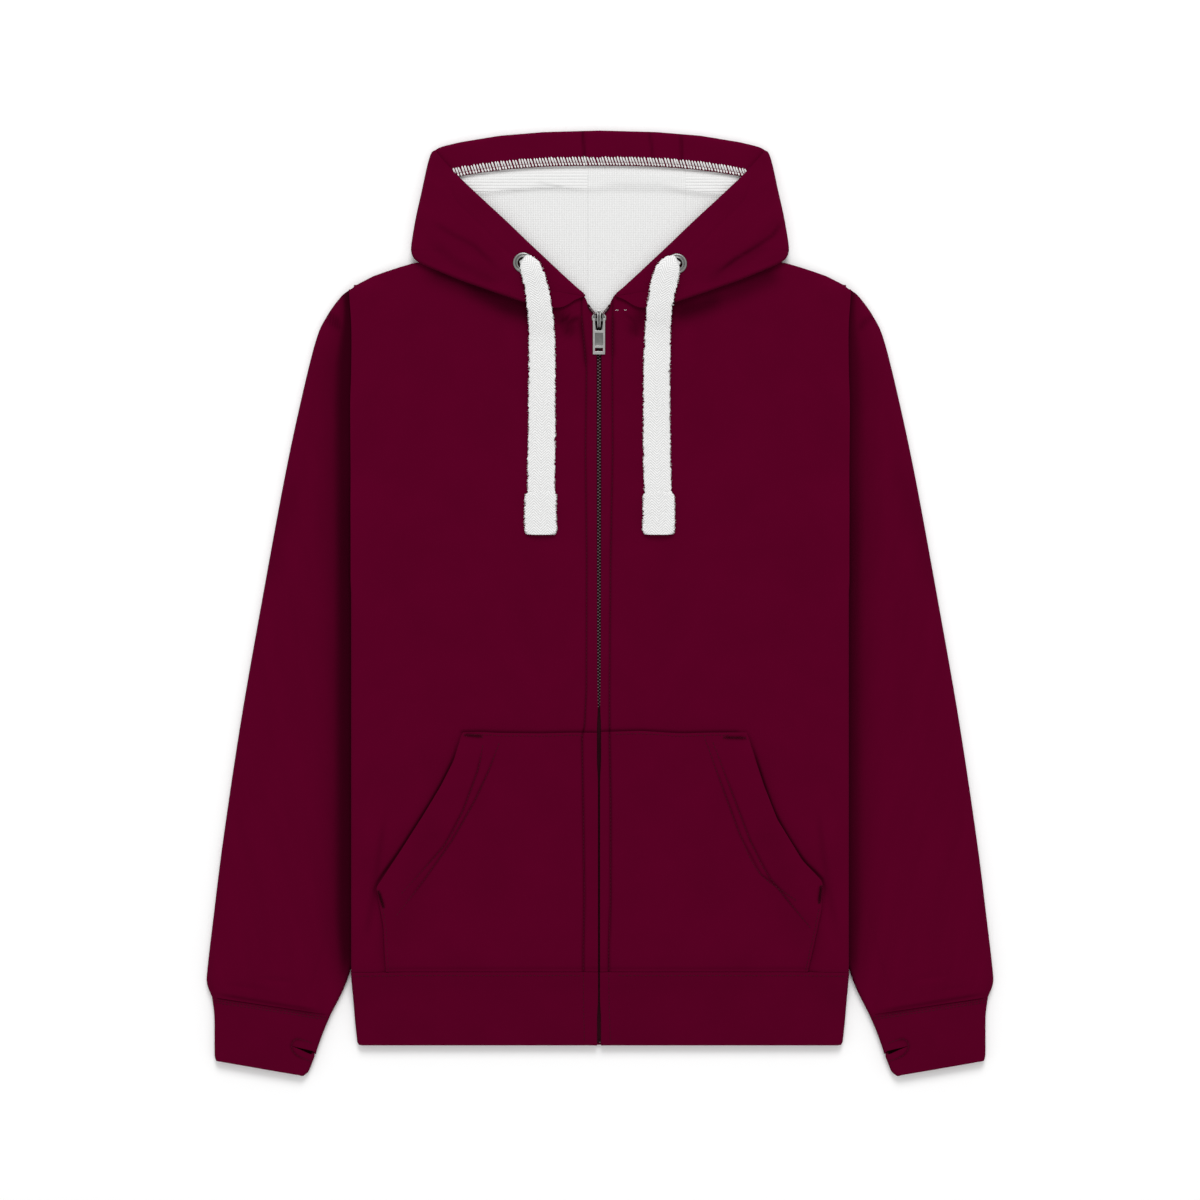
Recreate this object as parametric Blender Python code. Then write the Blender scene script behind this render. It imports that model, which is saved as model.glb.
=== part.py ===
"""Zip up hoodie laid flat, front up, sleeves tucked just behind the body.

+X is the garment's left as it is worn, +Y points to the hood, +Z up from the surface it lies on.
Tables are in millimetres; a side's x is its distance from the centre line.
"""
import bpy
import bmesh
import math
import numpy as np

MM = 0.001

# Cloth and gaps
CLOTH = 2.4                 # brushed fleece jersey
RIB = 2.8                   # doubled hem band and cuffs
POCKET = 2.2
LINING = 1.6                # waffle knit
TAPE = 0.8                  # woven zip tape
GAP = 0.3                   # between neighbouring pieces
PLY = 4.2                   # between the middles of two layers of one tube
FLOOR = CLOTH / 2           # middle of a wall that lies on the surface

# Body
BODY_HALF = 218.7           # side folds
UNDERARM = 25.5
HEM_SEAM = -323.0
HEM_BOTTOM = -388.1
NECK_LINE = 300.1           # back neck edge, under the hood
ZIP_X = -0.9                # the chain lies a little off the middle
ZIP_GAP = 2.2               # half the opening between the fronts

# Over a sleeve the body rides this much higher
SLEEVE_RISE = CLOTH + PLY + 2 * GAP
RISE_RAMP = 40.0
RISE_CLEAR = 8.0

# Zip
SEAM_TURN = 65.0            # degrees a wall turns before it meets the other at a seam
CHAIN_HALF = 1.85
TAPE_HALF = 14.0
SLIDER_HALF = 4.6
TAB_AXIS_Y = 249.0
TAB_WIDTH = 10.5
TAB_LENGTH = 30.3
TAB_THICK = 1.4
TAB_TILT = math.radians(3.0)
BAIL_REACH = 7.5
BAIL_HALF = 1.9

# Hood
WING_TOP = 11.05            # middle of the wing's cloth at the eyelets
HOOD_SEAMS = {-1: 11.0, 1: 75.0}    # centre panel's seams, off centre
FACING_MID = 5.8
FACING_TURN = 2.3
RIM_TURN = 1.7
RIM_CLEAR = 0.8             # between the facing's turned edge and the hood's back
RIM_HEM = 24.0
EYELET = {-1: (67.3, 299.2), 1: (67.3, 298.3)}
EYELET_OUTER = 9.2
EYELET_HOLE = 4.6
EYELET_WALL = 0.8

# Drawcords
CORD_WIDTH = 24.0
CORD_THICK = 2.6
CORD_END_WIDTH = 28.0
CORD_END_THICK = 3.6

# Top edge of a front: distance from the centre line, height
FRONT_TOP = [
    (2.2, 256.1), (7.5, 257.4), (12.8, 269.7), (23.3, 264.9), (33.9, 259.6), (51.5, 259.3), (58.5, 269.3),
    (70.0, 280.7), (87.6, 297.4), (114.0, 300.1), (136.0, 300.1), (152.0, 300.1), (164.0, 300.1),
    (177.0, 296.6), (189.0, 292.5), (201.0, 288.0), (214.0, 281.2),
]

# Half of the back's top edge, the same way
BACK_TOP = [
    (0.0, 300.1), (38.0, 300.1), (76.0, 300.1), (112.0, 300.1), (136.0, 300.1), (152.0, 300.1),
    (164.0, 300.1), (177.0, 296.6), (189.0, 292.5), (201.0, 288.0), (214.0, 281.2),
]

# Heights of a panel's rows, below those that follow its top edge
LEVELS = [236.0, 212.0, 190.0, 170.0, 118.0, 106.0, 94.0, 82.0, 50.0, 27.0, 14.0, -2.0, -30.0, -70.0, -110.0,
          -150.0, -190.0, -230.0, -264.0, -292.0, -312.0, HEM_SEAM + GAP / 2]

# Sleeve sections from armhole to cuff: outer fold x, y, inner fold x, y
SLEEVE_ROWS = [
    (217.0, 277.0, 213.0, 25.5), (228.4, 269.3, 213.0, 14.0), (239.8, 253.4, 209.5, -24.0),
    (249.5, 232.3, 204.0, -62.0), (262.7, 179.5, 195.5, -97.0), (277.6, 109.1, 185.5, -132.0),
    (297.0, 3.5, 177.0, -165.0), (315.5, -102.1, 176.0, -200.0), (331.3, -207.7, 187.0, -243.0),
    (340.1, -278.1, 206.8, -286.9), (345.0, -320.0, 218.7, -320.3), (345.4, -333.5, 226.5, -338.5),
    (341.0, -345.0, 239.8, -361.5),
]

# Cuff sections from seam to edge: outer fold x, y, inner fold x, y
CUFF_ROWS = [
    (340.2, -345.8, 240.2, -362.4), (338.2, -361.0, 246.6, -376.5), (337.6, -380.0, 252.6, -396.0),
    (337.0, -396.0, 257.4, -411.0), (334.5, -402.6, 262.0, -416.2),
]

# Thumb slit in the inner fold of a cuff: middle of its mouth, direction inwards, length, width
THUMB_SLIT = (250.6, -394.6)
SLIT_TURN = math.radians(14.0)
SLIT_LENGTH = 19.0
SLIT_WIDTH = 3.4

POCKET_GAP = 1.0

# Pocket's outer edge, top to hem: height, distance from the centre line
POCKET_EDGE = {
    -1: [(-114.0, 121.0), (-137.3, 128.0), (-184.8, 154.4), (-216.5, 174.7), (-248.2, 195.8),
         (-267.5, 192.3), (-282.5, 189.6), (-322.7, 187.9)],
    1: [(-114.0, 129.8), (-137.3, 137.0), (-158.8, 143.9), (-188.3, 155.3), (-224.4, 177.3),
        (-242.9, 194.9), (-267.5, 194.0), (-322.7, 182.6)],
}
POCKET_TOP = -112.6

# Hood side, top to neck: rim x, y, fold x, y, far edge y, rim height, fold height
HOOD_ROWS = [
    (143.0, 396.0, 147.5, 396.5, 412.0, 8.7, 8.7), (129.8, 381.0, 151.0, 385.4, 396.0, 9.0, 8.9),
    (107.0, 359.0, 156.6, 362.6, 375.0, 11.0, 10.6), (83.2, 337.0, 161.5, 340.6, 355.0, 11.0, 11.2),
    (61.2, 315.9, 165.4, 317.7, 330.0, 11.0, 11.2), (45.3, 301.0, 165.4, 308.0, 300.8, 11.0, 11.2),
    (32.1, 288.6, 159.7, 300.1, 0, 11.0, 11.2), (21.6, 279.0, 140.4, 291.3, 0, 10.6, 11.2),
    (13.6, 271.2, 121.0, 283.4, 0, 8.8, 11.2), (21.6, 267.2, 100.8, 276.3, 0, 7.7, 11.2),
    (33.9, 260.4, 83.2, 270.2, 0, 8.4, 11.2), (51.5, 260.2, 66.0, 264.4, 0, 9.7, 11.2),
]
FULL_ROWS = 6               # rows that wrap round to the back of the hood
HEM_FIRST, HEM_LAST = 2, 7  # rows whose rim is turned under

# Top edge of the hood: distance from the centre line, height
HOOD_TOP = [(0.0, 416.2), (50.0, 414.8), (88.4, 411.8), (121.9, 406.6), (136.0, 403.4), (143.0, 400.8)]

# Half width of the lining, from under the facing down to under the zip
LINING_EDGE = [(392.0, 138.0), (381.0, 138.0), (359.0, 117.0), (337.0, 93.0), (316.0, 71.0), (301.0, 55.0),
               (288.6, 42.0), (279.0, 31.6), (268.0, 22.0), (248.0, 16.0)]

# Drawcord, eyelet to stitched end: x, y, height of its middle, width
CORD_ROUTE = {
    -1: [(-67.5, 298.6, 12.2, 6.4), (-66.6, 296.6, 14.6, 6.8), (-65.2, 293.6, 16.2, 8.6),
         (-63.4, 289.0, 16.5, 12.6), (-60.6, 283.0, 15.6, 18.0), (-57.2, 276.0, 14.5, 22.5),
         (-54.2, 267.0, 14.2, 23.6), (-52.9, 258.0, 14.0, 24.0), (-52.0, 249.0, 12.2, 24.0),
         (-51.4, 240.0, 10.5, 24.0), (-51.1, 229.0, 10.0, 24.0), (-51.0, 190.0, 9.4, 24.0),
         (-51.0, 166.0, 8.3, 24.0), (-51.0, 144.0, 8.2, 24.0), (-51.7, 120.0, 8.2, 24.0),
         (-51.5, 97.0, 8.2, 24.0)],
    1: [(67.6, 297.7, 12.2, 6.4), (66.6, 295.7, 14.6, 6.8), (65.0, 292.7, 16.2, 8.6),
        (62.8, 288.2, 16.5, 12.6), (59.4, 282.2, 15.6, 18.0), (55.6, 275.6, 14.5, 22.5),
        (52.4, 267.0, 14.2, 23.6), (51.0, 258.0, 14.0, 24.0), (50.4, 249.0, 12.2, 24.0),
        (50.0, 240.0, 10.5, 24.0), (49.8, 229.0, 10.0, 24.0), (49.8, 190.0, 9.4, 24.0),
        (49.8, 166.0, 8.3, 24.0), (49.8, 144.0, 8.2, 24.0), (50.2, 120.0, 8.2, 24.0),
        (50.8, 97.0, 8.2, 24.0)],
}
CORD_END = {-1: (-52.0, 96.6, 60.6), 1: (51.4, 96.6, 60.6)}

SIDES = {-1: "right", 1: "left"}    # wearer's own sides


# ---------------------------------------------------------------- sizes to surfaces

def ease(low, high, value):
    """Soft step: 0 up to low, 1 from high on."""
    t = np.clip((np.asarray(value, float) - low) / (high - low), 0.0, 1.0)
    return t * t * (3.0 - 2.0 * t)


def spline(rows, count):
    """Catmull-Rom curve through the rows of a table, read at count even steps."""
    rows = np.array(rows, float)
    ends = np.vstack([2 * rows[0] - rows[1], rows, 2 * rows[-1] - rows[-2]])
    t = np.linspace(0.0, len(rows) - 1.0, count)
    i = np.minimum(t.astype(int), len(rows) - 2)
    f = (t - i)[:, None]
    a, b, c, d = ends[i], ends[i + 1], ends[i + 2], ends[i + 3]
    square = (2 * a - 5 * b + 4 * c - d) * f ** 2
    cube = (3 * b - a - 3 * c + d) * f ** 3
    return 0.5 * (2 * b + (c - a) * f + square + cube)


def table(rows, value, column=1):
    """A table's column at any value of its first column."""
    rows = sorted(rows)
    return np.interp(value, [r[0] for r in rows], [r[column] for r in rows])


def sleeve_inner(y):
    """Where the sleeve's inner fold lies under the body, from the centre line."""
    rows = sorted((r[3], r[2]) for r in SLEEVE_ROWS)
    return np.interp(y, [r[0] for r in rows], [r[1] for r in rows])


def beside_sleeve(y):
    """1 where the sleeve runs under the body, 0 at its head and below the hem."""
    return ease(118.0, 82.0, y) * ease(-366.0, -316.0, y)


def rise(x, y):
    """How far the body has climbed onto the sleeve, 0 to 1."""
    return ease(-RISE_RAMP - RISE_CLEAR, -RISE_CLEAR, np.abs(x) - sleeve_inner(y)) * beside_sleeve(y)


def back_mid(x, y):
    """Middle of the back's cloth."""
    return FLOOR + SLEEVE_RISE * rise(x, y)


def front_mid(x, y):
    """Middle of a front's cloth: one ply over the back, higher over the lining and beside the sleeve head."""
    neck = 1.5 * ease(64.0, 40.0, np.abs(x)) * ease(170.0, 212.0, y)
    head = 2.8 * ease(184.0, 208.0, np.abs(x)) * ease(276.0, 262.0, y) * ease(82.0, 118.0, y)
    return back_mid(x, y) + PLY + neck + head


def hood_top(x):
    """Height of the hood's top edge."""
    return np.interp(np.abs(x), [r[0] for r in HOOD_TOP], [r[1] for r in HOOD_TOP])


# ---------------------------------------------------------------- Blender helpers

def material(name, color, roughness, metallic=0.0):
    mat = bpy.data.materials.new(name)
    mat.use_nodes = True
    shader = mat.node_tree.nodes["Principled BSDF"]
    shader.inputs["Base Color"].default_value = (*color, 1.0)
    shader.inputs["Roughness"].default_value = roughness
    shader.inputs["Metallic"].default_value = metallic
    return mat


def mesh_object(name, verts, faces, mat):
    """One object from vertices in millimetres, faces turned outwards."""
    mesh = bpy.data.meshes.new(name)
    bm = bmesh.new()
    points = [bm.verts.new(tuple(float(c) * MM for c in v)) for v in verts]
    for face in faces:
        bm.faces.new([points[i] for i in face])
    loose = [v for v in bm.verts if not v.link_faces]
    bmesh.ops.delete(bm, geom=loose, context="VERTS")
    bmesh.ops.recalc_face_normals(bm, faces=bm.faces)
    bm.to_mesh(mesh)
    bm.free()
    mesh.materials.append(mat)
    obj = bpy.data.objects.new(name, mesh)
    bpy.context.collection.objects.link(obj)
    obj.data.shade_smooth()
    obj.data.set_sharp_from_angle(angle=math.radians(50))
    return obj


def grid_faces(rows, cols, keep=None, ring=False):
    """Quads of a grid, all of them or those kept; a ring joins its last column to the first."""
    faces = []
    for r in range(rows - 1):
        for c in range(cols if ring else cols - 1):
            if keep is None or keep(r, c):
                n = (c + 1) % cols
                faces.append((r * cols + c, r * cols + n, (r + 1) * cols + n, (r + 1) * cols + c))
    return faces


def cloth(name, points, thick, mat, keep=None, ring=False):
    """A wall of the given thickness on a grid of its middle points."""
    points = np.asarray(points, float)
    rows, cols = points.shape[:2]
    obj = mesh_object(name, points.reshape(-1, 3), grid_faces(rows, cols, keep, ring), mat)
    wall = obj.modifiers.new("wall", "SOLIDIFY")
    wall.thickness = thick * MM
    wall.offset = 0.0
    wall.use_quality_normals = True
    return obj


def cut(obj, cutter):
    """Takes a cutter's shape out of an object and hides the cutter."""
    hole = obj.modifiers.new("hole", "BOOLEAN")
    hole.object = cutter
    hole.solver = "EXACT"
    cutter.hide_render = True
    cutter.display_type = "WIRE"


def box(name, low, high, mat):
    x0, y0, z0 = low
    x1, y1, z1 = high
    verts = [(x, y, z) for z in (z0, z1) for y in (y0, y1) for x in (x0, x1)]
    faces = [(0, 2, 3, 1), (4, 5, 7, 6), (0, 1, 5, 4), (2, 6, 7, 3), (0, 4, 6, 2), (1, 3, 7, 5)]
    return mesh_object(name, verts, faces, mat)


def turned(name, profile, centre, steps, mat):
    """A ring turned about the vertical through centre; profile is a closed loop of radius, height."""
    angles = [2 * math.pi * k / steps for k in range(steps)]
    verts = [(centre[0] + r * math.cos(a), centre[1] + r * math.sin(a), z)
             for a in angles for r, z in profile]
    n = len(profile)
    faces = [(s * n + k, s * n + (k + 1) % n, (s + 1) % steps * n + (k + 1) % n, (s + 1) % steps * n + k)
             for s in range(steps) for k in range(n)]
    return mesh_object(name, verts, faces, mat)


# ---------------------------------------------------------------- body

def side_seam(y):
    """1 where front and back meet at the side fold, 0 beside the armhole."""
    return ease(UNDERARM + 2.0, UNDERARM - 18.0, y)


def armhole(y):
    """The line where the sleeve is set in, from the centre line."""
    return 213.0 + 4.0 * (y - UNDERARM) / (277.0 - UNDERARM)


def front_edge(y):
    """Outer edge of the middle of a front: over the sleeve head, then inside the side fold."""
    lap = ease(262.0, 246.0, y)
    beside = (armhole(y) - GAP - 0.1) * (1.0 - lap) + BODY_HALF * lap
    return beside * (1.0 - side_seam(y)) + (BODY_HALF - CLOTH / 2) * side_seam(y)


def back_edge(y):
    """Outer edge of the middle of the back: beside the sleeve, then inside the side fold."""
    seam = ease(UNDERARM + 2.0, UNDERARM - 10.0, y)
    return (armhole(y) - GAP - 0.1) * (1.0 - seam) + (BODY_HALF - CLOTH / 2) * seam


def panel_half(top_edge, level, edge, turn):
    """Half a panel from the centre out: rows follow its top edge, then LEVELS. The shoulder and the side
    fold turn towards the other layer, up for turn 1 and down for turn -1."""
    radius = PLY / 2
    xs = np.array([p[0] for p in top_edge])
    tops = np.array([p[1] for p in top_edge])
    shown = ease(155.0, 176.0, xs)
    ys = []
    drops = []
    for r, angle in enumerate(np.radians([SEAM_TURN, 42.0, 0.0])):
        turned_in = CLOTH / 2 + radius * (1.0 - math.sin(angle))
        ys.append(tops - shown * turned_in - (1.0 - shown) * 1.8 * r)
        drops.append(shown * radius * (1.0 - math.cos(angle)))
    ys.append((ys[-1] + LEVELS[0]) / 2)
    ys += [np.full(len(xs), y) for y in LEVELS]
    ys = np.array(ys)
    flat = np.tile(xs, (len(ys), 1))
    flat[:, -1] = edge(ys[:, -1]) - radius
    z = level(flat, ys)
    z[:3] += turn * np.array(drops)
    base = np.stack([flat, ys, z], axis=2)
    seam = side_seam(ys[:, -1])
    turned = []
    for angle in np.radians([42.0, SEAM_TURN]):
        column = base[:, -1].copy()
        column[:, 0] += radius * math.sin(angle)
        column[:, 2] += turn * seam * radius * (1.0 - math.cos(angle))
        turned.append(column)
    return np.concatenate([base, np.stack(turned, axis=1)], axis=1)


def front_grid(side):
    """Middle surface of one front."""
    grid = panel_half(FRONT_TOP, front_mid, front_edge, -1.0)
    grid[:, :, 0] = side * grid[:, :, 0] + ZIP_X * (1.0 - grid[:, :, 0] / BODY_HALF)
    return grid


def back_grid():
    """Middle surface of the back, side fold to side fold."""
    half = panel_half(BACK_TOP, back_mid, back_edge, 1.0)
    other = half[:, :0:-1].copy()
    other[:, :, 0] *= -1.0
    return np.concatenate([other, half], axis=1)


def band_half(y):
    """Outer edge of the hem band, drawn in a little towards its edge."""
    return np.interp(y, [HEM_BOTTOM, -386.0, -366.0, HEM_SEAM], [211.8, 213.2, 215.4, BODY_HALF - 0.1])


def waistband_grid():
    """Middle surface of the hem band: from the zip round one side, the back and the other side."""
    ys = np.array([HEM_SEAM - GAP / 2, -334.0, -348.0, -364.0, -378.0, HEM_BOTTOM])
    flat_front = [2.2, 60.0, 120.0, 165.0, 190.0]
    turn = np.radians([0.0, 45.0, 90.0, 135.0, 180.0])
    flat_back = [190.0, 165.0, 110.0, 55.0]
    radius = PLY / 2
    low = (RIB - CLOTH) / 2
    rows = []
    for y in ys:
        edge = band_half(y) - RIB / 2 - radius
        half = [(x, front_mid(x, y) + low) for x in flat_front]
        half += [(edge + radius * math.sin(a), back_mid(edge, y) + low + radius * (1.0 + math.cos(a)))
                 for a in turn]
        half += [(x, back_mid(x, y) + low) for x in flat_back]
        left = [(-x + ZIP_X * (1.0 - x / BODY_HALF), y, z) for x, z in half]
        right = [(x + ZIP_X * (1.0 - x / BODY_HALF), y, z) for x, z in half]
        rows.append(left + [(0.0, y, FLOOR + low)] + right[::-1])
    return np.array(rows)


def pocket_grid(side):
    """Middle surface of one pocket: the front's own surface moved out, lifted along the slanted opening."""
    ys = [POCKET_TOP, -122.0, -136.0, -150.0, -170.0, -190.0, -210.0, -230.0, -246.0, -264.0, -292.0,
          -312.0, HEM_SEAM + GAP / 2]
    across = np.array([0.0, 0.25, 0.48, 0.66, 0.79, 0.9, 1.0])
    grid = np.zeros((len(ys), len(across), 3))
    for r, y in enumerate(ys):
        outer = table(POCKET_EDGE[side], y)
        ax = ZIP_GAP + (outer - ZIP_GAP) * across
        open_edge = ease(-262.0, -235.0, y) * ease(-114.0, -130.0, y)
        lift = 1.3 * open_edge * ease(0.75, 1.0, across)
        grid[r, :, 0] = side * ax + ZIP_X * (1.0 - ax / BODY_HALF)
        grid[r, :, 1] = y
        grid[r, :, 2] = front_mid(ax, y) + CLOTH / 2 + POCKET_GAP + POCKET / 2 + lift
    return grid


# ---------------------------------------------------------------- sleeves and cuffs

def normals(points, sign):
    """Unit normals of a run of points in the plane, to one side."""
    step = np.gradient(points, axis=0)
    across = np.stack([-step[:, 1], step[:, 0]], axis=1) * sign
    return across / np.linalg.norm(across, axis=1)[:, None]


def flat_tube(rows, side, thick, ply, puff, inner_cols, head=None):
    """Middle surface of a flattened tube: over the top from outer to inner fold and back below."""
    outer = rows[:, 0:2]
    inner = rows[:, 2:4]
    radius = ply / 2
    inset = thick / 2 + radius
    out_normal = normals(outer, 1.0)
    in_normal = normals(inner, -1.0)
    if head is not None:
        out_normal[0] = head
    a = outer - out_normal * inset
    b = inner - in_normal * inset
    mid = thick / 2 + radius
    turn = np.radians([90.0, 45.0, 0.0, -45.0, -90.0])
    columns = []
    for angle in turn[::-1]:
        columns.append((a + out_normal * radius * math.cos(angle), mid + radius * math.sin(angle)))
    for t in inner_cols:
        place = a + (b - a) * t
        columns.append((place, 2 * mid - thick / 2 + puff(place, t)))
    for angle in turn:
        columns.append((b + in_normal * radius * math.cos(angle), mid + radius * math.sin(angle)))
    for t in (0.7, 0.3):
        columns.append((a + (b - a) * t, thick / 2))
    grid = np.zeros((len(rows), len(columns), 3))
    for c, (place, z) in enumerate(columns):
        grid[:, c, 0] = side * place[:, 0]
        grid[:, c, 1] = place[:, 1]
        grid[:, c, 2] = z
    return grid


def sleeve_puff(place, t):
    """The sleeve stands a little fuller outside the body's edge."""
    clear = ease(BODY_HALF + 6.0, BODY_HALF + 24.0, place[:, 0]) * ease(-356.0, -330.0, place[:, 1])
    return 2.2 * clear * math.sin(math.pi * min(1.0, 0.25 + t)) ** 0.5


def add_sleeve(side, mat):
    rows = spline(SLEEVE_ROWS, 17)
    rows[0] = SLEEVE_ROWS[0]
    grid = flat_tube(rows, side, CLOTH, PLY, sleeve_puff, [0.12, 0.3, 0.5, 0.7, 0.88], head=(0.0, 1.0))
    cloth("sleeve_" + SIDES[side], grid, CLOTH, mat, ring=True)


def add_cuff(side, mat):
    rows = spline(CUFF_ROWS, 6)
    grid = flat_tube(rows, side, RIB, PLY, lambda place, t: 0.0, [0.25, 0.5, 0.75])
    cuff = cloth("cuff_" + SIDES[side], grid, RIB, mat, ring=True)
    across = (math.cos(SLIT_TURN), math.sin(SLIT_TURN))
    along = (-across[1], across[0])
    reach = [(-6.0, -1.0), (SLIT_LENGTH - 2.0, -1.0), (SLIT_LENGTH, 0.0), (SLIT_LENGTH - 2.0, 1.0),
             (-6.0, 1.0)]
    outline = [(side * (THUMB_SLIT[0] + across[0] * u + along[0] * w * SLIT_WIDTH / 2),
                THUMB_SLIT[1] + across[1] * u + along[1] * w * SLIT_WIDTH / 2) for u, w in reach]
    n = len(outline)
    verts = [(x, y, z) for z in (-3.0, 12.0) for x, y in outline]
    faces = [tuple(range(n)), tuple(range(2 * n - 1, n - 1, -1))]
    faces += [(k, (k + 1) % n, n + (k + 1) % n, n + k) for k in range(n)]
    cut(cuff, mesh_object("cuff_slit_" + SIDES[side], verts, faces, mat))


# ---------------------------------------------------------------- hood

def hood_side_grid(side):
    """Middle surface of a hood side: turned rim, wing, outer fold, then far layer or short turn under."""
    rows = np.array(HOOD_ROWS)
    rim = rows[:, 0:2]
    fold = rows[:, 2:4]
    rim_normal = normals(rim, -1.0)
    rim_normal[HEM_LAST:] = rim_normal[HEM_LAST - 1]
    fold_normal = normals(fold, 1.0)
    count = len(rows)
    hemmed = np.zeros(count)
    hemmed[HEM_FIRST:HEM_LAST + 1] = 1.0
    rim_inset = (CLOTH / 2 + RIM_TURN) * hemmed
    near = rim - rim_normal * rim_inset[:, None]
    rim_z = rows[:, 5]
    fold_z = rows[:, 6]
    lower = np.where(np.arange(count) < FULL_ROWS, FLOOR, CLOTH + PLY + GAP + CLOTH / 2)
    radius = (fold_z - lower) / 2
    bend = fold - fold_normal * (CLOTH / 2 + radius)[:, None]
    columns = []
    under = rim - rim_normal * RIM_HEM
    columns.append((under, rim_z - 2 * RIM_TURN))
    columns.append((near, rim_z - 2 * RIM_TURN))
    for angle in np.radians([-35.0, 35.0]):
        columns.append((near + rim_normal * RIM_TURN * math.cos(angle),
                        rim_z - RIM_TURN + RIM_TURN * math.sin(angle)))
    columns.append((near, rim_z))
    for t in (0.2, 0.4, 0.6, 0.8):
        columns.append((near + (bend - near) * t, rim_z + (fold_z - rim_z) * t))
    for angle in np.radians([90.0, 54.0, 18.0, -18.0, -54.0, -90.0]):
        columns.append((bend + fold_normal * (radius * math.cos(angle))[:, None],
                        lower + radius + radius * math.sin(angle)))
    far_x = HOOD_SEAMS[side] + GAP / 2
    short = bend - fold_normal * 9.0
    far_y = rows[:, 4]
    for t in (0.34, 0.67, 1.0):
        x = bend[:, 0] + (far_x - bend[:, 0]) * t
        straight = bend[:, 1] + (far_y - bend[:, 1]) * t
        top_row = hood_top(x) - (CLOTH / 2 + FACING_TURN) - RIM_CLEAR
        y = straight.copy()
        y[0] = top_row[0]
        y[FULL_ROWS - 1] = max(far_y[FULL_ROWS - 1], 0.0)
        place = np.stack([x, y], axis=1)
        place[FULL_ROWS:] = short[FULL_ROWS:]
        columns.append((place, lower.copy()))
    grid = np.zeros((count, len(columns), 3))
    for c, (place, z) in enumerate(columns):
        grid[:, c, 0] = side * place[:, 0]
        grid[:, c, 1] = place[:, 1]
        grid[:, c, 2] = z
    return grid


def hood_side_keep(r, c):
    """Quads of the hood side that are cloth: hem on its rows, far layer above the neck seam only."""
    if c < 4:
        return HEM_FIRST <= r < HEM_LAST
    if c < 14:
        return True
    if c == 14:
        return r != FULL_ROWS - 1
    return r < FULL_ROWS - 1


def add_hood_side(side, mat):
    wing = cloth("hood_" + SIDES[side], hood_side_grid(side), CLOTH, mat, keep=hood_side_keep)
    ax, y = EYELET[side]
    bpy.ops.mesh.primitive_cylinder_add(vertices=20, radius=(EYELET_HOLE + EYELET_WALL + 0.35) * MM,
                                        depth=4.4 * MM, location=(side * ax * MM, y * MM, WING_TOP * MM))
    cutter = bpy.context.object
    cutter.name = "eyelet_hole_" + SIDES[side]
    cut(wing, cutter)


def add_hood_centre(mat):
    """Flat strip of the hood's back between its two seams."""
    xs = np.linspace(-HOOD_SEAMS[-1] + GAP / 2, HOOD_SEAMS[1] - GAP / 2, 5)
    v = np.linspace(0.0, 1.0, 4)[:, None]
    top = hood_top(xs)[None, :] - (CLOTH / 2 + FACING_TURN) - RIM_CLEAR
    y = top + (NECK_LINE + 0.7 - top) * v
    grid = np.stack([np.tile(xs, (4, 1)), y, np.full(y.shape, FLOOR)], axis=2)
    cloth("hood_centre", grid, CLOTH, mat)


def facing_low(x):
    """Lower edge of the facing."""
    return 385.0 - 7.5 * (x / 141.0) ** 2


def add_hood_facing(mat):
    """Rim facing across the top: over the lining, round the top edge and down to the surface."""
    xs = np.array([-141.0, -121.0, -98.0, -74.0, -48.0, -24.0, 0.0, 24.0, 48.0, 74.0, 98.0, 121.0, 141.0])
    lower = facing_low(xs)
    edge = hood_top(xs)
    bend = edge - CLOTH / 2 - FACING_TURN
    rows = [(lower, np.full(xs.shape, FACING_MID)), ((lower + bend) / 2, np.full(xs.shape, FACING_MID))]
    for angle in np.radians([90.0, 50.0, 10.0, -30.0, -88.0]):
        rows.append((bend + FACING_TURN * math.cos(angle),
                     np.full(xs.shape, FACING_MID - FACING_TURN + FACING_TURN * math.sin(angle))))
    grid = np.array([np.stack([xs, y, z], axis=1) for y, z in rows])
    cloth("hood_facing", grid, CLOTH, mat)


def add_lining(mat):
    """Three panels of waffle lining, with a soft ledge where the upper part folds over the lower."""
    base = CLOTH + GAP + LINING / 2
    left_seam, right_seam = -HOOD_SEAMS[-1], HOOD_SEAMS[1]
    ys = np.array([391.0, 384.0, 378.0, 373.0, 369.0, 364.0, 361.0, 357.0, 344.0, 328.0, 314.0, 300.0, 284.0,
                   268.0, 248.0])
    pieces = {
        "right": (None, left_seam - GAP / 2, 6, ys),
        "centre": (left_seam + GAP / 2, right_seam - GAP / 2, 5, ys),
        "left": (right_seam + GAP / 2, None, 4, ys[ys > 325.0]),
    }
    for name, (low, high, cols, levels) in pieces.items():
        rows = []
        for y in levels:
            edge = table(LINING_EDGE, y)
            x0 = -edge if low is None else low
            x1 = edge if high is None else min(high, edge)
            xs = np.linspace(x0, x1, cols)
            fold = ease(358.0, 365.0, y + 2.0 * np.sin(xs / 21.0))
            z = base + 1.4 * fold * ease(facing_low(xs) - 2.0, facing_low(xs) - 9.0, y)
            rows.append(np.stack([xs, np.full(cols, y), z], axis=1))
        cloth("hood_lining_" + name, np.array(rows), LINING, mat)


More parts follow.
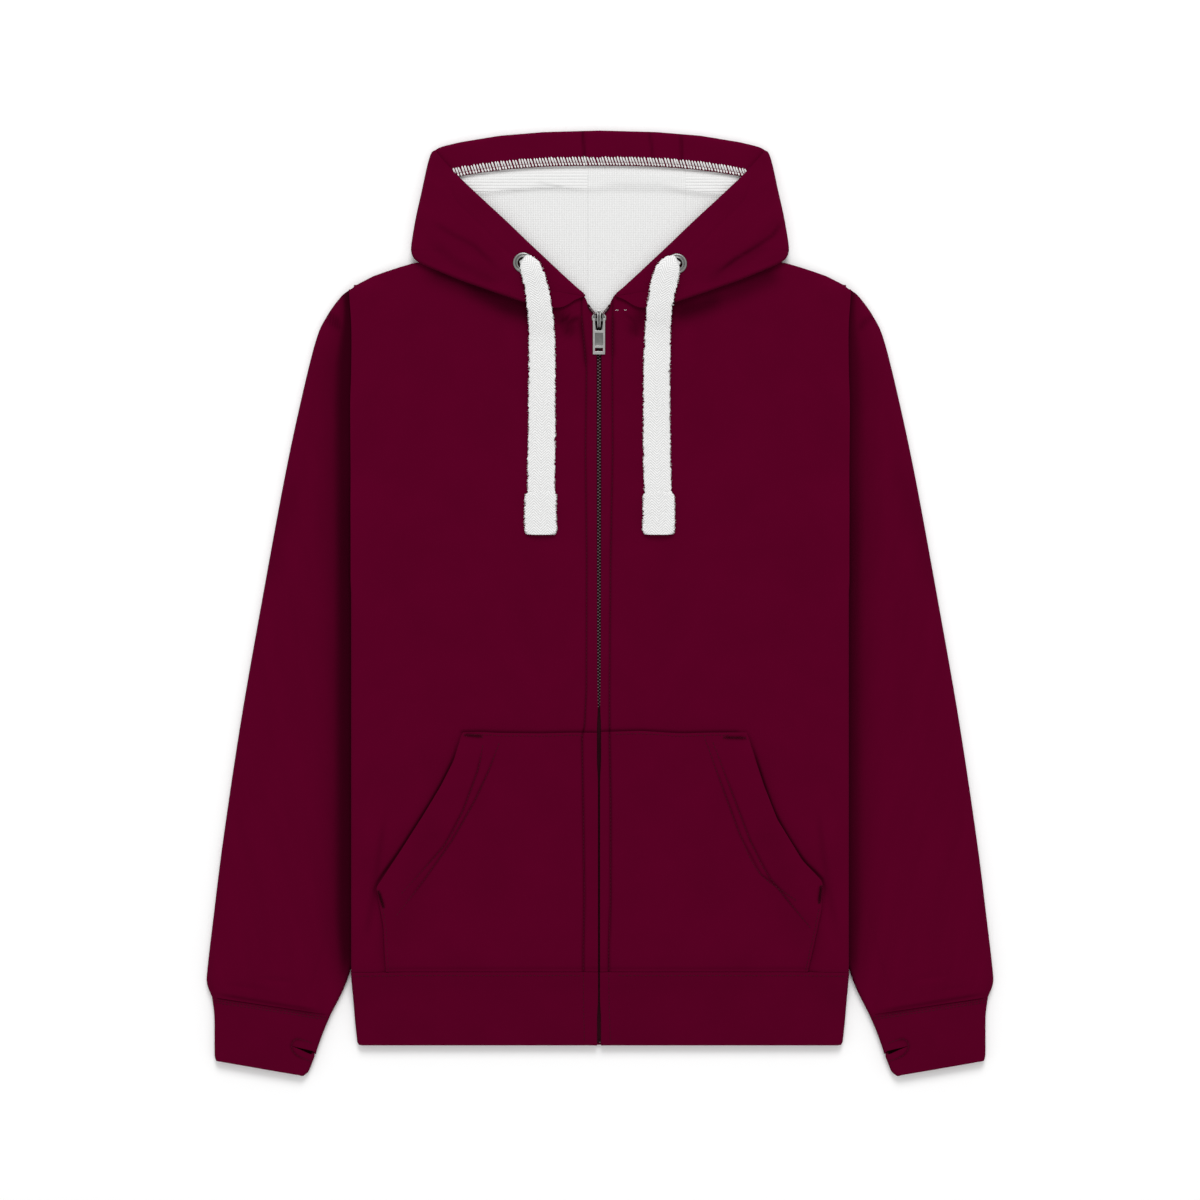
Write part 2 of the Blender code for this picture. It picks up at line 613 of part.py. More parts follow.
def add_eyelet(side, mat):
    """Pressed eyelet: domed washer on the cloth and a short barrel through it."""
    seat = WING_TOP + CLOTH / 2 + GAP
    inner, wall = EYELET_HOLE, EYELET_WALL
    profile = [(inner, seat + 0.9), (inner, WING_TOP - CLOTH / 2), (inner + wall, WING_TOP - CLOTH / 2),
               (inner + wall, seat), (EYELET_OUTER, seat), (EYELET_OUTER - 0.5, seat + 0.8),
               (EYELET_OUTER - 2.4, seat + 1.3), (inner + 0.9, seat + 1.3)]
    ax, y = EYELET[side]
    turned("eyelet_" + SIDES[side], profile, (side * ax, y), 18, mat)


# ---------------------------------------------------------------- zip

def add_zip_tape(side, mat):
    """Woven tape under a front and the hem band, its inner edge at the chain."""
    ys = [254.0] + LEVELS[:-1:1] + [-324.0, -352.0, -386.0]
    inner, outer = 0.3, TAPE_HALF
    rows = []
    for y in ys:
        z = front_mid(0.0, y) - CLOTH / 2 - GAP - TAPE / 2
        rows.append([(ZIP_X + side * inner, y, z), (ZIP_X + side * outer, y, z)])
    cloth("zip_tape_" + SIDES[side], np.array(rows), TAPE, mat)


def add_zip_chain(mat):
    """The closed chain between the fronts, as one bar under the teeth."""
    ys = [250.8] + LEVELS[:4] + LEVELS[4:-1:4] + [-385.0]
    verts, faces = [], []
    for y in ys:
        level = front_mid(0.0, y)
        for x, z in ((-CHAIN_HALF, -1.2), (CHAIN_HALF, -1.2), (CHAIN_HALF, 0.3), (CHAIN_HALF - 0.5, 0.7),
                     (-CHAIN_HALF + 0.5, 0.7), (-CHAIN_HALF, 0.3)):
            verts.append((ZIP_X + x, y, level + z))
    n = 6
    for r in range(len(ys) - 1):
        faces += [(r * n + k, r * n + (k + 1) % n, (r + 1) * n + (k + 1) % n, (r + 1) * n + k)
                  for k in range(n)]
    last = (len(ys) - 1) * n
    faces += [tuple(range(n))[::-1], tuple(range(last, last + n))]
    mesh_object("zip_chain", verts, faces, mat)


def slider_level():
    """Top of the slider's plate."""
    return front_mid(0.0, TAB_AXIS_Y) + CLOTH / 2 + GAP + 1.0


def tab_axis_level():
    return slider_level() + 1.45


def add_slider(mat):
    """Slider: shield shaped plate over the chain, a neck between the tapes, a bail over the tab's bar."""
    top = slider_level()
    low = top - 1.0
    seat = front_mid(0.0, TAB_AXIS_Y) - 1.2
    y0, y1 = TAB_AXIS_Y - 8.2, TAB_AXIS_Y + 9.6
    outline = [(-3.4, y0), (3.4, y0), (SLIDER_HALF, y0 + 2.0), (SLIDER_HALF, y1 - 5.0), (3.2, y1 - 0.6),
               (1.6, y1), (-1.6, y1), (-3.2, y1 - 0.6), (-SLIDER_HALF, y1 - 5.0), (-SLIDER_HALF, y0 + 2.0)]
    n = len(outline)
    verts = [(ZIP_X + x, y, z) for z in (low, top) for x, y in outline]
    faces = [tuple(range(n))[::-1], tuple(range(n, 2 * n))]
    faces += [(k, (k + 1) % n, n + (k + 1) % n, n + k) for k in range(n)]
    slider = mesh_object("zip_slider", verts, faces, mat)
    neck = box("slider_neck", (ZIP_X - 1.7, y1 - 7.0, seat), (ZIP_X + 1.7, y1 - 1.2, low + 0.5), mat)
    axis = tab_axis_level()
    legs = [(-BAIL_REACH, low + 0.5), (-BAIL_REACH, axis + 1.6), (-BAIL_REACH + 1.6, axis + 2.8),
            (BAIL_REACH - 1.8, axis + 2.8), (BAIL_REACH, axis + 1.4), (BAIL_REACH, low + 0.5),
            (BAIL_REACH - 1.5, low + 0.5), (BAIL_REACH - 1.5, axis + 1.0), (BAIL_REACH - 2.4, axis + 1.5),
            (-BAIL_REACH + 2.2, axis + 1.5), (-BAIL_REACH + 1.4, axis + 0.9), (-BAIL_REACH + 1.4, low + 0.5)]
    n = len(legs)
    verts = [(ZIP_X + x, TAB_AXIS_Y + y, z) for x in (-BAIL_HALF, BAIL_HALF) for y, z in legs]
    ring = [(0, 1, 10, 11), (1, 2, 9, 10), (2, 3, 8, 9), (3, 4, 7, 8), (4, 5, 6, 7)]
    faces = [tuple(q) for q in ring] + [tuple(n + i for i in q[::-1]) for q in ring]
    faces += [(k, (k + 1) % n, n + (k + 1) % n, n + k) for k in range(n)]
    bail = mesh_object("slider_bail", verts, faces, mat)
    for part in (neck, bail):
        join = slider.modifiers.new("join", "BOOLEAN")
        join.operation = "UNION"
        join.object = part
        join.solver = "EXACT"
        part.hide_render = True
        part.display_type = "WIRE"


def add_pull_tab(mat):
    """Pull tab: bar on the joint axis, window for the bail, plate with a slot; its origin is on the axis."""
    half = TAB_WIDTH / 2
    xs = [-half, -half + 2.4, half - 2.4, half]
    ys = [0.8, -0.8, -8.9, -26.4, -28.8, -TAB_LENGTH]
    open_cells = {(1, 1), (1, 3)}
    verts, index = [], {}
    for z in (-TAB_THICK / 2, TAB_THICK / 2):
        for j, y in enumerate(ys):
            for i, x in enumerate(xs):
                index[i, j, z > 0] = len(verts)
                verts.append((x, y, z))
    faces = []
    cells = {(i, j) for i in range(3) for j in range(5)} - open_cells
    for i, j in cells:
        for up in (False, True):
            faces.append([index[p, q, up] for p, q in ((i, j), (i, j + 1), (i + 1, j + 1), (i + 1, j))])
        for (di, dj), (p, q) in {(-1, 0): ((i, j), (i, j + 1)), (1, 0): ((i + 1, j), (i + 1, j + 1)),
                                 (0, -1): ((i, j), (i + 1, j)), (0, 1): ((i, j + 1), (i + 1, j + 1))}.items():
            if (i + di, j + dj) not in cells:
                faces.append([index[*p, False], index[*q, False], index[*q, True], index[*p, True]])
    tab = mesh_object("zip_pull_tab", verts, faces, mat)
    edge = tab.modifiers.new("edge", "BEVEL")
    edge.width = 0.3 * MM
    edge.segments = 1
    edge.limit_method = "ANGLE"
    edge.angle_limit = math.radians(40)
    tab.location = (ZIP_X * MM, TAB_AXIS_Y * MM, tab_axis_level() * MM)
    tab.rotation_euler = (TAB_TILT, 0.0, 0.0)


# ---------------------------------------------------------------- drawcords

def ribbon(name, route, thick, mat):
    """Flat cord along a route of x, y, z, width, with rounded edges."""
    route = np.asarray(route, float)
    step = np.gradient(route[:, :3], axis=0)
    step /= np.linalg.norm(step, axis=1)[:, None]
    across = np.stack([-step[:, 1], step[:, 0], np.zeros(len(route))], axis=1)
    across /= np.linalg.norm(across, axis=1)[:, None]
    up = np.cross(step, across)
    verts = []
    for p, a, u in zip(route, across, up):
        w = p[3] / 2
        for s, h in ((-w, -0.17), (-w + thick / 3, -0.5), (w - thick / 3, -0.5), (w, -0.17),
                     (w, 0.17), (w - thick / 3, 0.5), (-w + thick / 3, 0.5), (-w, 0.17)):
            verts.append(p[:3] + a * s + u * h * thick)
    n = 8
    faces = [(r * n + k, r * n + (k + 1) % n, (r + 1) * n + (k + 1) % n, (r + 1) * n + k)
             for r in range(len(route) - 1) for k in range(n)]
    last = (len(route) - 1) * n
    faces += [tuple(range(n))[::-1], tuple(range(last, last + n))]
    return mesh_object(name, verts, faces, mat)


def add_drawcord(side, mat):
    ribbon("drawcord_" + SIDES[side], spline(CORD_ROUTE[side], 24), CORD_THICK, mat)
    x, top, bottom = CORD_END[side]
    level = 8.2 + (CORD_END_THICK - CORD_THICK) / 2
    sections = [(x, top, level, CORD_WIDTH), (x, top - 1.2, level, CORD_END_WIDTH),
                (x, bottom + 1.5, level, CORD_END_WIDTH), (x, bottom, level, CORD_END_WIDTH - 2.5)]
    ribbon("drawcord_end_" + SIDES[side], sections, CORD_END_THICK, mat)


def main():
    for obj in list(bpy.data.objects):
        bpy.data.objects.remove(obj)
    burgundy = material("burgundy_fleece", (0.093, 0.0008, 0.016), 0.95)
    rib = material("burgundy_band", (0.088, 0.0008, 0.015), 0.95)
    waffle = material("white_waffle", (0.78, 0.78, 0.78), 0.9)
    cord = material("white_herringbone", (0.85, 0.85, 0.85), 0.85)
    tape = material("zip_tape", (0.06, 0.0006, 0.011), 0.85)
    metal = material("antique_metal", (0.21, 0.21, 0.2), 0.4, 1.0)

    cloth("back", back_grid(), CLOTH, burgundy)
    cloth("waistband", waistband_grid(), RIB, rib)
    add_hood_centre(burgundy)
    add_hood_facing(burgundy)
    add_lining(waffle)
    add_zip_chain(metal)
    for side, word in SIDES.items():
        cloth("front_" + word, front_grid(side), CLOTH, burgundy)
        cloth("pocket_" + word, pocket_grid(side), POCKET, burgundy)
        add_sleeve(side, burgundy)
        add_cuff(side, rib)
        add_hood_side(side, burgundy)
        add_eyelet(side, metal)
        add_zip_tape(side, tape)
        add_drawcord(side, cord)
    add_slider(metal)
    add_pull_tab(metal)


main()
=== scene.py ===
import bpy
import math
import numpy as np
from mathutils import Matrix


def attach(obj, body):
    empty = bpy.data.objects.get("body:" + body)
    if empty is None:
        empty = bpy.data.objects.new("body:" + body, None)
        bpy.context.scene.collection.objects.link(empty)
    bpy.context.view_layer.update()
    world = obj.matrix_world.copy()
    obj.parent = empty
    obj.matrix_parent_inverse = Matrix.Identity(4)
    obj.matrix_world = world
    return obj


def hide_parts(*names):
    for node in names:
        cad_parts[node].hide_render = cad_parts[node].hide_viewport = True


# Zip up hoodie laid flat, front up. Lengths are in millimetres until a mesh is made.
# side is 1 for the wearer's left (+X) and -1 for the right; a side's x is its distance from the middle.

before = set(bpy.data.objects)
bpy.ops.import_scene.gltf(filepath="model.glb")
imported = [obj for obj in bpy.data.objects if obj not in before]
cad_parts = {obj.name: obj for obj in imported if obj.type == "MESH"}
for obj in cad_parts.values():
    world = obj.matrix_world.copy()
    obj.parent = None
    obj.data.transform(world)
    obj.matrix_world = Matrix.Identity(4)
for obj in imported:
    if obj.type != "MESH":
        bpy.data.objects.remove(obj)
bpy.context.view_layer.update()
mm = 0.001
sideWord = {-1: "Right", 1: "Left"}
nodeWord = {-1: "right", 1: "left"}
chance = np.random.default_rng(7)
print("frame loaded:", len(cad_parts), "nodes")


# camera and light

def addObject(name, data):
    made = bpy.data.objects.new(name, data)
    bpy.context.scene.collection.objects.link(made)
    return made


view = {"x": 0.0, "y": 3.52, "span": 1056.0, "lens": 100.0, "sensor": 36.0}
light = {"sky": 0.70, "key": 190.0, "keyPlace": (0.2, 4.4, 4.0), "keySize": 3.0,
         "fill": 20.0, "fillPlace": (0.0, -4.0, 4.2), "fillSize": 4.0, "floor": (0.98, 0.98, 0.98),
         "floorHalf": 6.0, "floorDrop": 0.0004}  # metres and watts


def addCamera():
    # Straight down, at the height where the sensor's width takes in the span.
    data = bpy.data.cameras.new("camera")
    data.lens = view["lens"]
    data.sensor_width = view["sensor"]
    data.clip_end = 20.0
    camera = addObject("camera", data)
    away = view["span"] * view["lens"] / view["sensor"]  # the plane's width fills the sensor's width
    camera.location = (view["x"] * mm, view["y"] * mm, away * mm)
    bpy.context.scene.camera = camera


def addLamp(name, power, place, size):
    # A round lamp at a place, turned to the origin.
    data = bpy.data.lights.new(name, "AREA")
    data.shape = "DISK"
    data.size = size
    data.energy = power
    lamp = addObject(name, data)
    lamp.location = place
    x, y, z = place
    tip, turn = math.atan2(math.hypot(x, y), z), math.atan2(y, x) + math.pi / 2
    lamp.rotation_euler = (tip, 0.0, turn)


def addStudio():
    # White sky, a key lamp behind, a fill lamp in front, and a pale floor just under the part.
    world = bpy.data.worlds.new("studio")
    world.use_nodes = True
    sky = world.node_tree.nodes["Background"]
    sky.inputs["Color"].default_value = (1.0, 1.0, 1.0, 1.0)
    sky.inputs["Strength"].default_value = light["sky"]
    bpy.context.scene.world = world
    bpy.context.scene.view_settings.view_transform = "Standard"
    addLamp("keyLamp", light["key"], light["keyPlace"], light["keySize"])
    addLamp("fillLamp", light["fill"], light["fillPlace"], light["fillSize"])
    mesh = bpy.data.meshes.new("floor")
    half, drop = light["floorHalf"], light["floorDrop"]
    corners = [(-half, -half, -drop), (half, -half, -drop), (half, half, -drop), (-half, half, -drop)]
    mesh.from_pydata(corners, [], [(0, 1, 2, 3)])
    floor = addObject("floor", mesh)
    floor.data.materials.append(newMaterial("palePaper", light["floor"], 0.9, specular=0.1)[0])


# materials

def newMaterial(name, color, roughness, metallic=0.0, specular=0.5, sheen=0.0, sheenTint=(1.0, 1.0, 1.0)):
    # One principled shader with its plain values set.
    made = bpy.data.materials.new(name)
    made.use_nodes = True
    tree = made.node_tree
    shader = tree.nodes["Principled BSDF"]
    shader.inputs["Base Color"].default_value = (*color, 1.0)
    shader.inputs["Roughness"].default_value = roughness
    shader.inputs["Metallic"].default_value = metallic
    shader.inputs["Specular IOR Level"].default_value = specular
    shader.inputs["Sheen Weight"].default_value = sheen
    shader.inputs["Sheen Roughness"].default_value = 0.55
    shader.inputs["Sheen Tint"].default_value = (*sheenTint, 1.0)
    return made, tree, shader


def addNode(tree, kind, sockets=None, **settings):
    # A node with its settings; a socket given as a value is linked, a number is written in.
    made = tree.nodes.new(kind)
    for key, value in settings.items():
        setattr(made, key, value)
    for key, value in (sockets or {}).items():
        if isinstance(value, bpy.types.NodeSocket):
            tree.links.new(value, made.inputs[key])
        else:
            made.inputs[key].default_value = value
    return made


def sums(tree, operation, first, second):
    return addNode(tree, "ShaderNodeMath", {0: first, 1: second}, operation=operation).outputs[0]


def mixed(tree, factor, first, second, blend="MIX"):
    made = addNode(tree, "ShaderNodeMix", {0: factor, 6: first, 7: second}, data_type="RGBA",
                   blend_type=blend)
    return made.outputs[2]


def noise(tree, vector, scale, detail=2.0, roughness=0.5):
    made = addNode(tree, "ShaderNodeTexNoise", {"Vector": vector, "Scale": scale, "Detail": detail,
                                                "Roughness": roughness})
    return made.outputs[0]


def ripple(tree, vector, period, direction, distortion=0.0):
    # Bands of the given period in metres: the wave node turns through 20 radians for each unit of scale.
    made = addNode(tree, "ShaderNodeTexWave", {"Vector": vector, "Scale": math.pi / 10.0 / period,
                                               "Distortion": distortion, "Detail": 2.0, "Detail Scale": 1.5},
                   wave_type="BANDS", bands_direction=direction, wave_profile="SIN")
    return made.outputs[1]


def bump(tree, shader, height, distance, strength=1.0):
    # Height pattern turned into the shader's normal, its depth in metres.
    made = addNode(tree, "ShaderNodeBump", {"Height": height, "Distance": distance, "Strength": strength})
    tree.links.new(made.outputs[0], shader.inputs["Normal"])


def shade(color, amount):
    return (color[0] * amount, color[1] * amount, color[2] * amount, 1.0)


def cutMap(tree):
    # The cloth's own flat lengths, in metres: across on U and along on V.
    return addNode(tree, "ShaderNodeUVMap", uv_map="cut").outputs[0]


fleeceLook = {"color": (0.0848, 0.0004, 0.0152), "rough": 0.96, "sheen": 0.035, "sheenTint": (1.0, 0.2, 0.4),
              "fibre": 950.0, "wale": 0.00125, "mottle": 26.0, "paintedShadeLeft": 0.06, "bandTone": 0.96,
              "bandWale": 0.0016}


def fleeceMaterial(name, color, wale):
    # Jersey face: faint wales along the cloth, fine nap over them, a soft mottle in the dye, and painted
    # shade from the piece's shade attribute.
    made, tree, shader = newMaterial(name, color, fleeceLook["rough"], specular=0.0,
                                     sheen=fleeceLook["sheen"], sheenTint=fleeceLook["sheenTint"])
    flat = cutMap(tree)
    nap = noise(tree, flat, fleeceLook["fibre"], 3.0, 0.65)
    wales = ripple(tree, flat, wale, "X", 0.6)
    lumps = noise(tree, flat, fleeceLook["mottle"], 4.0)
    height = sums(tree, "ADD", sums(tree, "MULTIPLY", nap, 0.7), sums(tree, "MULTIPLY", wales, 0.35))
    grain = sums(tree, "ADD", sums(tree, "MULTIPLY", lumps, 0.55), sums(tree, "MULTIPLY", nap, 0.45))
    tone = mixed(tree, grain, shade(color, 0.84), shade(color, 1.17))
    # Painted shade: the attribute darkens the colour down to the fraction left at full shade.
    paintedShade = addNode(tree, "ShaderNodeAttribute", attribute_name="paintedShade").outputs[2]
    deep = mixed(tree, paintedShade, tone, shade(color, fleeceLook["paintedShadeLeft"]))
    tree.links.new(deep, shader.inputs["Base Color"])
    bump(tree, shader, height, 0.00016, 0.8)
    return made


# groove is painted shade in the cells between the ribs.
waffleLook = {"color": (0.82, 0.82, 0.815), "groove": (0.72, 0.72, 0.715), "rib": 0.0021, "wideRib": 0.0027,
              "cross": 0.0016}


def waffleCells(tree, flat, across, along, rib):
    # Ribs one way, three parts, and bars the other way, one part.
    ribs = ripple(tree, flat, rib, across, 0.35)
    bars = ripple(tree, flat, waffleLook["cross"], along, 0.5)
    return sums(tree, "ADD", sums(tree, "MULTIPLY", ribs, 0.75), sums(tree, "MULTIPLY", bars, 0.25))


def waffleMaterial():
    # Waffle knit: raised ribs along the cloth crossed by finer bars, with painted shade in the cells between
    # and from the piece's shade attribute.
    made, tree, shader = newMaterial("whiteWaffle", waffleLook["color"], 0.95, specular=0.1, sheen=0.08)
    flat = cutMap(tree)
    upright = waffleCells(tree, flat, "X", "Y", waffleLook["rib"])
    level = waffleCells(tree, flat, "Y", "X", waffleLook["wideRib"])
    turned = addNode(tree, "ShaderNodeAttribute", attribute_name="turned").outputs[2]
    sharp = addNode(tree, "ShaderNodeMapRange", {"Value": turned, "From Min": 0.47,
                                                 "From Max": 0.53}).outputs[0]
    cells = sums(tree, "ADD", sums(tree, "MULTIPLY", upright, sums(tree, "SUBTRACT", 1.0, sharp)),
                 sums(tree, "MULTIPLY", level, sharp))
    nap = noise(tree, flat, 1200.0, 3.0, 0.6)
    height = sums(tree, "ADD", cells, sums(tree, "MULTIPLY", nap, 0.25))
    tone = mixed(tree, cells, (*waffleLook["groove"], 1.0), (*waffleLook["color"], 1.0))
    paintedShade = addNode(tree, "ShaderNodeAttribute", attribute_name="paintedShade").outputs[2]
    deep = mixed(tree, paintedShade, tone, shade(waffleLook["color"], 0.25))
    tree.links.new(deep, shader.inputs["Base Color"])
    bump(tree, shader, height, 0.0005, 0.8)
    return made


# dip is painted shade in the hollows between the yarns.
cordLook = {"color": (0.9, 0.9, 0.895), "dip": (0.62, 0.62, 0.615), "twill": 0.0024, "turnEvery": 0.006}


def cordMaterial():
    # Herringbone: slanted yarns that turn back every few millimetres across the band, with painted shade in
    # the hollows between them.
    made, tree, shader = newMaterial("whiteHerringbone", cordLook["color"], 0.9, specular=0.15, sheen=0.15)
    flat = cutMap(tree)
    parts = addNode(tree, "ShaderNodeSeparateXYZ", {0: flat})
    across = addNode(tree, "ShaderNodeMath", {0: parts.outputs[0], 1: cordLook["turnEvery"]},
                     operation="PINGPONG").outputs[0]
    wobble = sums(tree, "MULTIPLY", noise(tree, flat, 330.0), 0.0012)
    slant = sums(tree, "ADD", sums(tree, "ADD", across, parts.outputs[1]), wobble)
    turns = sums(tree, "MULTIPLY", slant, 2.0 * math.pi / cordLook["twill"])
    yarn = sums(tree, "ADD", sums(tree, "MULTIPLY", sums(tree, "SINE", turns, 0.0), 0.5), 0.5)
    nap = noise(tree, flat, 1500.0, 3.0, 0.65)
    height = sums(tree, "ADD", yarn, sums(tree, "MULTIPLY", nap, 0.6))
    tone = mixed(tree, height, (*cordLook["dip"], 1.0), (*cordLook["color"], 1.0))
    tree.links.new(tone, shader.inputs["Base Color"])
    bump(tree, shader, height, 0.00045, 0.9)
    return made


# colour, roughness
# The first, black, is painted shadow on the slider and in its bail's groove.
threadLook = {"paintedShadowBlack": ((0.006, 0.002, 0.003), 0.8), "burgundyThread": ((0.06, 0.0006, 0.0105), 0.7),
              "whiteThread": ((0.93, 0.93, 0.92), 0.7), "zipCord": ((0.026, 0.0004, 0.005), 0.8)}


def threadMaterial(name, color, roughness):
    # Twisted sewing thread: fine slanted plies with a little dull shine.
    made, tree, shader = newMaterial(name, color, roughness, specular=0.12)
    place = addNode(tree, "ShaderNodeTexCoord").outputs["Object"]
    ply = noise(tree, place, 2600.0, 2.0)
    tone = mixed(tree, ply, shade(color, 0.72), shade(color, 1.12))
    tree.links.new(tone, shader.inputs["Base Color"])
    bump(tree, shader, ply, 0.0001, 0.6)
    return made


# clean tone, worn tone, roughness
metalLook = {"antiqueMetal": ((0.56, 0.56, 0.55), (0.33, 0.33, 0.325), 0.34),
             "oxidisedMetal": ((0.25, 0.25, 0.245), (0.12, 0.12, 0.115), 0.42),
             "eyeletMetal": ((0.36, 0.36, 0.35), (0.2, 0.2, 0.195), 0.28),
             "zipTeeth": ((0.24, 0.17, 0.185), (0.11, 0.07, 0.08), 0.42)}


def metalMaterial(name, clean, worn, roughness):
    # Antiqued metal: cloudy plating with fine rubbed scratches in its roughness.
    made, tree, shader = newMaterial(name, clean, roughness, metallic=1.0)
    place = addNode(tree, "ShaderNodeTexCoord").outputs["Object"]
    cloud = noise(tree, place, 420.0, 4.0, 0.6)
    stretch = (6000.0, 700.0, 700.0)
    brushed = addNode(tree, "ShaderNodeMapping", {"Vector": place, "Scale": stretch}).outputs[0]
    scratch = noise(tree, brushed, 1.0, 2.0)
    tone = mixed(tree, cloud, (*worn, 1.0), (*clean, 1.0))
    tree.links.new(tone, shader.inputs["Base Color"])
    dull = addNode(tree, "ShaderNodeMapRange", {"Value": scratch, "To Min": roughness - 0.08,
                                                "To Max": roughness + 0.2}).outputs[0]
    tree.links.new(dull, shader.inputs["Roughness"])
    bump(tree, shader, sums(tree, "ADD", cloud, scratch), 0.00003, 0.7)
    return made


tapeLook = {"color": (0.022, 0.0006, 0.005), "warp": 0.0009, "weft": 0.0007}


def tapeMaterial():
    # Woven zip tape: narrow ribs along it crossed by the weft.
    color = tapeLook["color"]
    made, tree, shader = newMaterial("zipTapeWeave", color, 0.85, specular=0.05)
    flat = cutMap(tree)
    warp = ripple(tree, flat, tapeLook["warp"], "X")
    weft = ripple(tree, flat, tapeLook["weft"], "Y")
    weave = sums(tree, "MULTIPLY", warp, weft)
    tree.links.new(mixed(tree, weave, shade(color, 0.7), shade(color, 1.25)), shader.inputs["Base Color"])
    bump(tree, shader, weave, 0.0002, 0.8)
    return made


# shared shapes

def ease(low, high, value):
    # Soft step: 0 up to low, 1 from high on.
    t = np.clip((np.asarray(value, float) - low) / (high - low), 0.0, 1.0)
    return t * t * (3.0 - 2.0 * t)


def curveThrough(rows, count):
    # Catmull-Rom curve through a table's rows, read at count even steps.
    rows = np.array(rows, float)
    ends = np.vstack([2 * rows[0] - rows[1], rows, 2 * rows[-1] - rows[-2]])
    t = np.linspace(0.0, len(rows) - 1.0, count)
    i = np.minimum(t.astype(int), len(rows) - 2)
    f = (t - i)[:, None]
    a, b, c, d = ends[i], ends[i + 1], ends[i + 2], ends[i + 3]
    bend, twist = 2 * a - 5 * b + 4 * c - d, 3 * b - a - 3 * c + d
    return 0.5 * (2 * b + (c - a) * f + bend * f ** 2 + twist * f ** 3)


def evenly(points, step):
    # The same line with its points a step apart.
    points = np.asarray(points, float)
    far = np.concatenate([[0.0], np.cumsum(np.linalg.norm(np.diff(points, axis=0), axis=1))])
    count = max(2, int(round(far[-1] / step)) + 1)
    at = np.linspace(0.0, far[-1], count)
    return np.stack([np.interp(at, far, points[:, k]) for k in range(points.shape[1])], axis=1)


def readRows(rows, value, soft=0.0):
    # A table's second column at any value of its first, averaged over a soft width.
    rows = np.array(sorted(rows), float)
    offsets = np.array([-1.0, -0.5, 0.0, 0.5, 1.0]) * soft
    return sum(np.interp(np.asarray(value, float) + o, rows[:, 0], rows[:, 1]) for o in offsets) / 5.0


def trough(x, y, line, width, depth):
    # Depth times a bell curve of the distance to a line, faded out towards the line's ends.
    line = np.asarray(line, float)
    nearest = np.full(np.shape(x), 1e9)
    along = np.zeros(np.shape(x))
    count = len(line) - 1
    for k in range(count):
        start, run = line[k], line[k + 1] - line[k]
        t = np.clip(((x - start[0]) * run[0] + (y - start[1]) * run[1]) / (run @ run + 1e-9), 0.0, 1.0)
        away = np.hypot(x - start[0] - t * run[0], y - start[1] - t * run[1])
        closer = away < nearest
        nearest = np.where(closer, away, nearest)
        along = np.where(closer, (k + t) / count, along)
    fade = ease(0.0, 0.22, along) * ease(1.0, 0.78, along)
    return -depth * np.exp(-(nearest / width) ** 2) * fade


def folds(x, y, rows):
    # Sum of soft troughs; each row: start x, y, middle x, y, end x, y, width, depth.
    total = np.zeros(np.shape(x))
    t = np.linspace(0.0, 1.0, 9)[:, None]
    for x0, y0, x1, y1, x2, y2, width, depth in rows:
        start, middle, end = np.array([x0, y0]), np.array([x1, y1]), np.array([x2, y2])
        bend = (1 - t) ** 2 * start + 2 * t * (1 - t) * middle + t ** 2 * end
        total += trough(x, y, bend, width, depth)
    return total


def gloom(x, y, rows):
    # How much painted shade a place gets, 0 to 1, near lines; each row: width, amount and the line's points.
    left = np.ones(np.shape(x))
    for width, amount, line in rows:
        left = left * (1.0 + trough(x, y, line, width, amount))
    return 1.0 - left


def spaced(*spans):
    # Sample places from spans of start, end and step.
    parts = [np.linspace(a, b, max(2, int(round(abs(b - a) / step)) + 1))[:-1] for a, b, step in spans]
    return np.concatenate(parts + [[spans[-1][1]]])


def settle(x, y, seed):
    # Slow uneven swell of laid cloth: a few sine waves in seeded directions.
    draw = np.random.default_rng(seed)
    total = np.zeros(np.shape(x))
    for _ in range(6):
        turn, length, phase = draw.uniform(0, math.pi), draw.uniform(70, 190), draw.uniform(0, 2 * math.pi)
        total += np.sin((x * math.cos(turn) + y * math.sin(turn)) * 2 * math.pi / length + phase)
    return total / 6.0


# meshes

def unit(vectors):
    # Each vector divided by its length.
    return vectors / np.linalg.norm(vectors, axis=-1)[..., None]


def roundEdges(obj, name, width, segments, angle):
    # Rounds the edges that turn by more than the angle, in degrees.
    made = obj.modifiers.new(name, "BEVEL")
    made.width = width * mm
    made.segments = segments
    made.limit_method = "ANGLE"
    made.angle_limit = math.radians(angle)


def putMesh(name, verts, faces, uvs=None):
    # One object at the origin from points in millimetres and quads; points that no face uses are left out.
    used, index = np.unique(faces, return_inverse=True)
    faces = index.reshape(faces.shape)
    mesh = bpy.data.meshes.new(name)
    mesh.from_pydata((np.asarray(verts, float)[used] * mm).tolist(), [], faces.tolist())
    if uvs is not None:
        layer = mesh.uv_layers.new(name="cut")
        layer.data.foreach_set("uv", np.asarray(uvs, np.float32).ravel())
    mesh.shade_smooth()
    return addObject(name, mesh), used


def reach(points, keep):
    # Flat lengths across and along a grid, in metres; the quads left out add nothing along.
    across = np.zeros(points.shape[:2])
    along = np.zeros(points.shape[:2])
    across[:, 1:] = np.cumsum(np.linalg.norm(np.diff(points, axis=1), axis=2), axis=1)
    steps = np.linalg.norm(np.diff(points, axis=0), axis=2)
    if keep is not None:
        steps[:, 1:keep.shape[1] + 1] *= keep
    along[1:] = np.cumsum(steps, axis=0)
    return across * mm, along * mm


def gridFaces(rows, cols, ring=False, keep=None):
    # Quads of a grid and, for each corner, the grid place its flat lengths are read at.
    r, c = np.meshgrid(np.arange(rows - 1), np.arange(cols if ring else cols - 1), indexing="ij")
    if keep is not None:
        r, c = r[keep], c[keep]
    r, c = r.ravel(), c.ravel()
    corners = [(r, c), (r, c + 1), (r + 1, c + 1), (r + 1, c)]
    faces = np.stack([i * cols + j % cols for i, j in corners], axis=1)
    places = np.stack([i * (cols + 1) + j for i, j in corners], axis=1)
    return faces, places


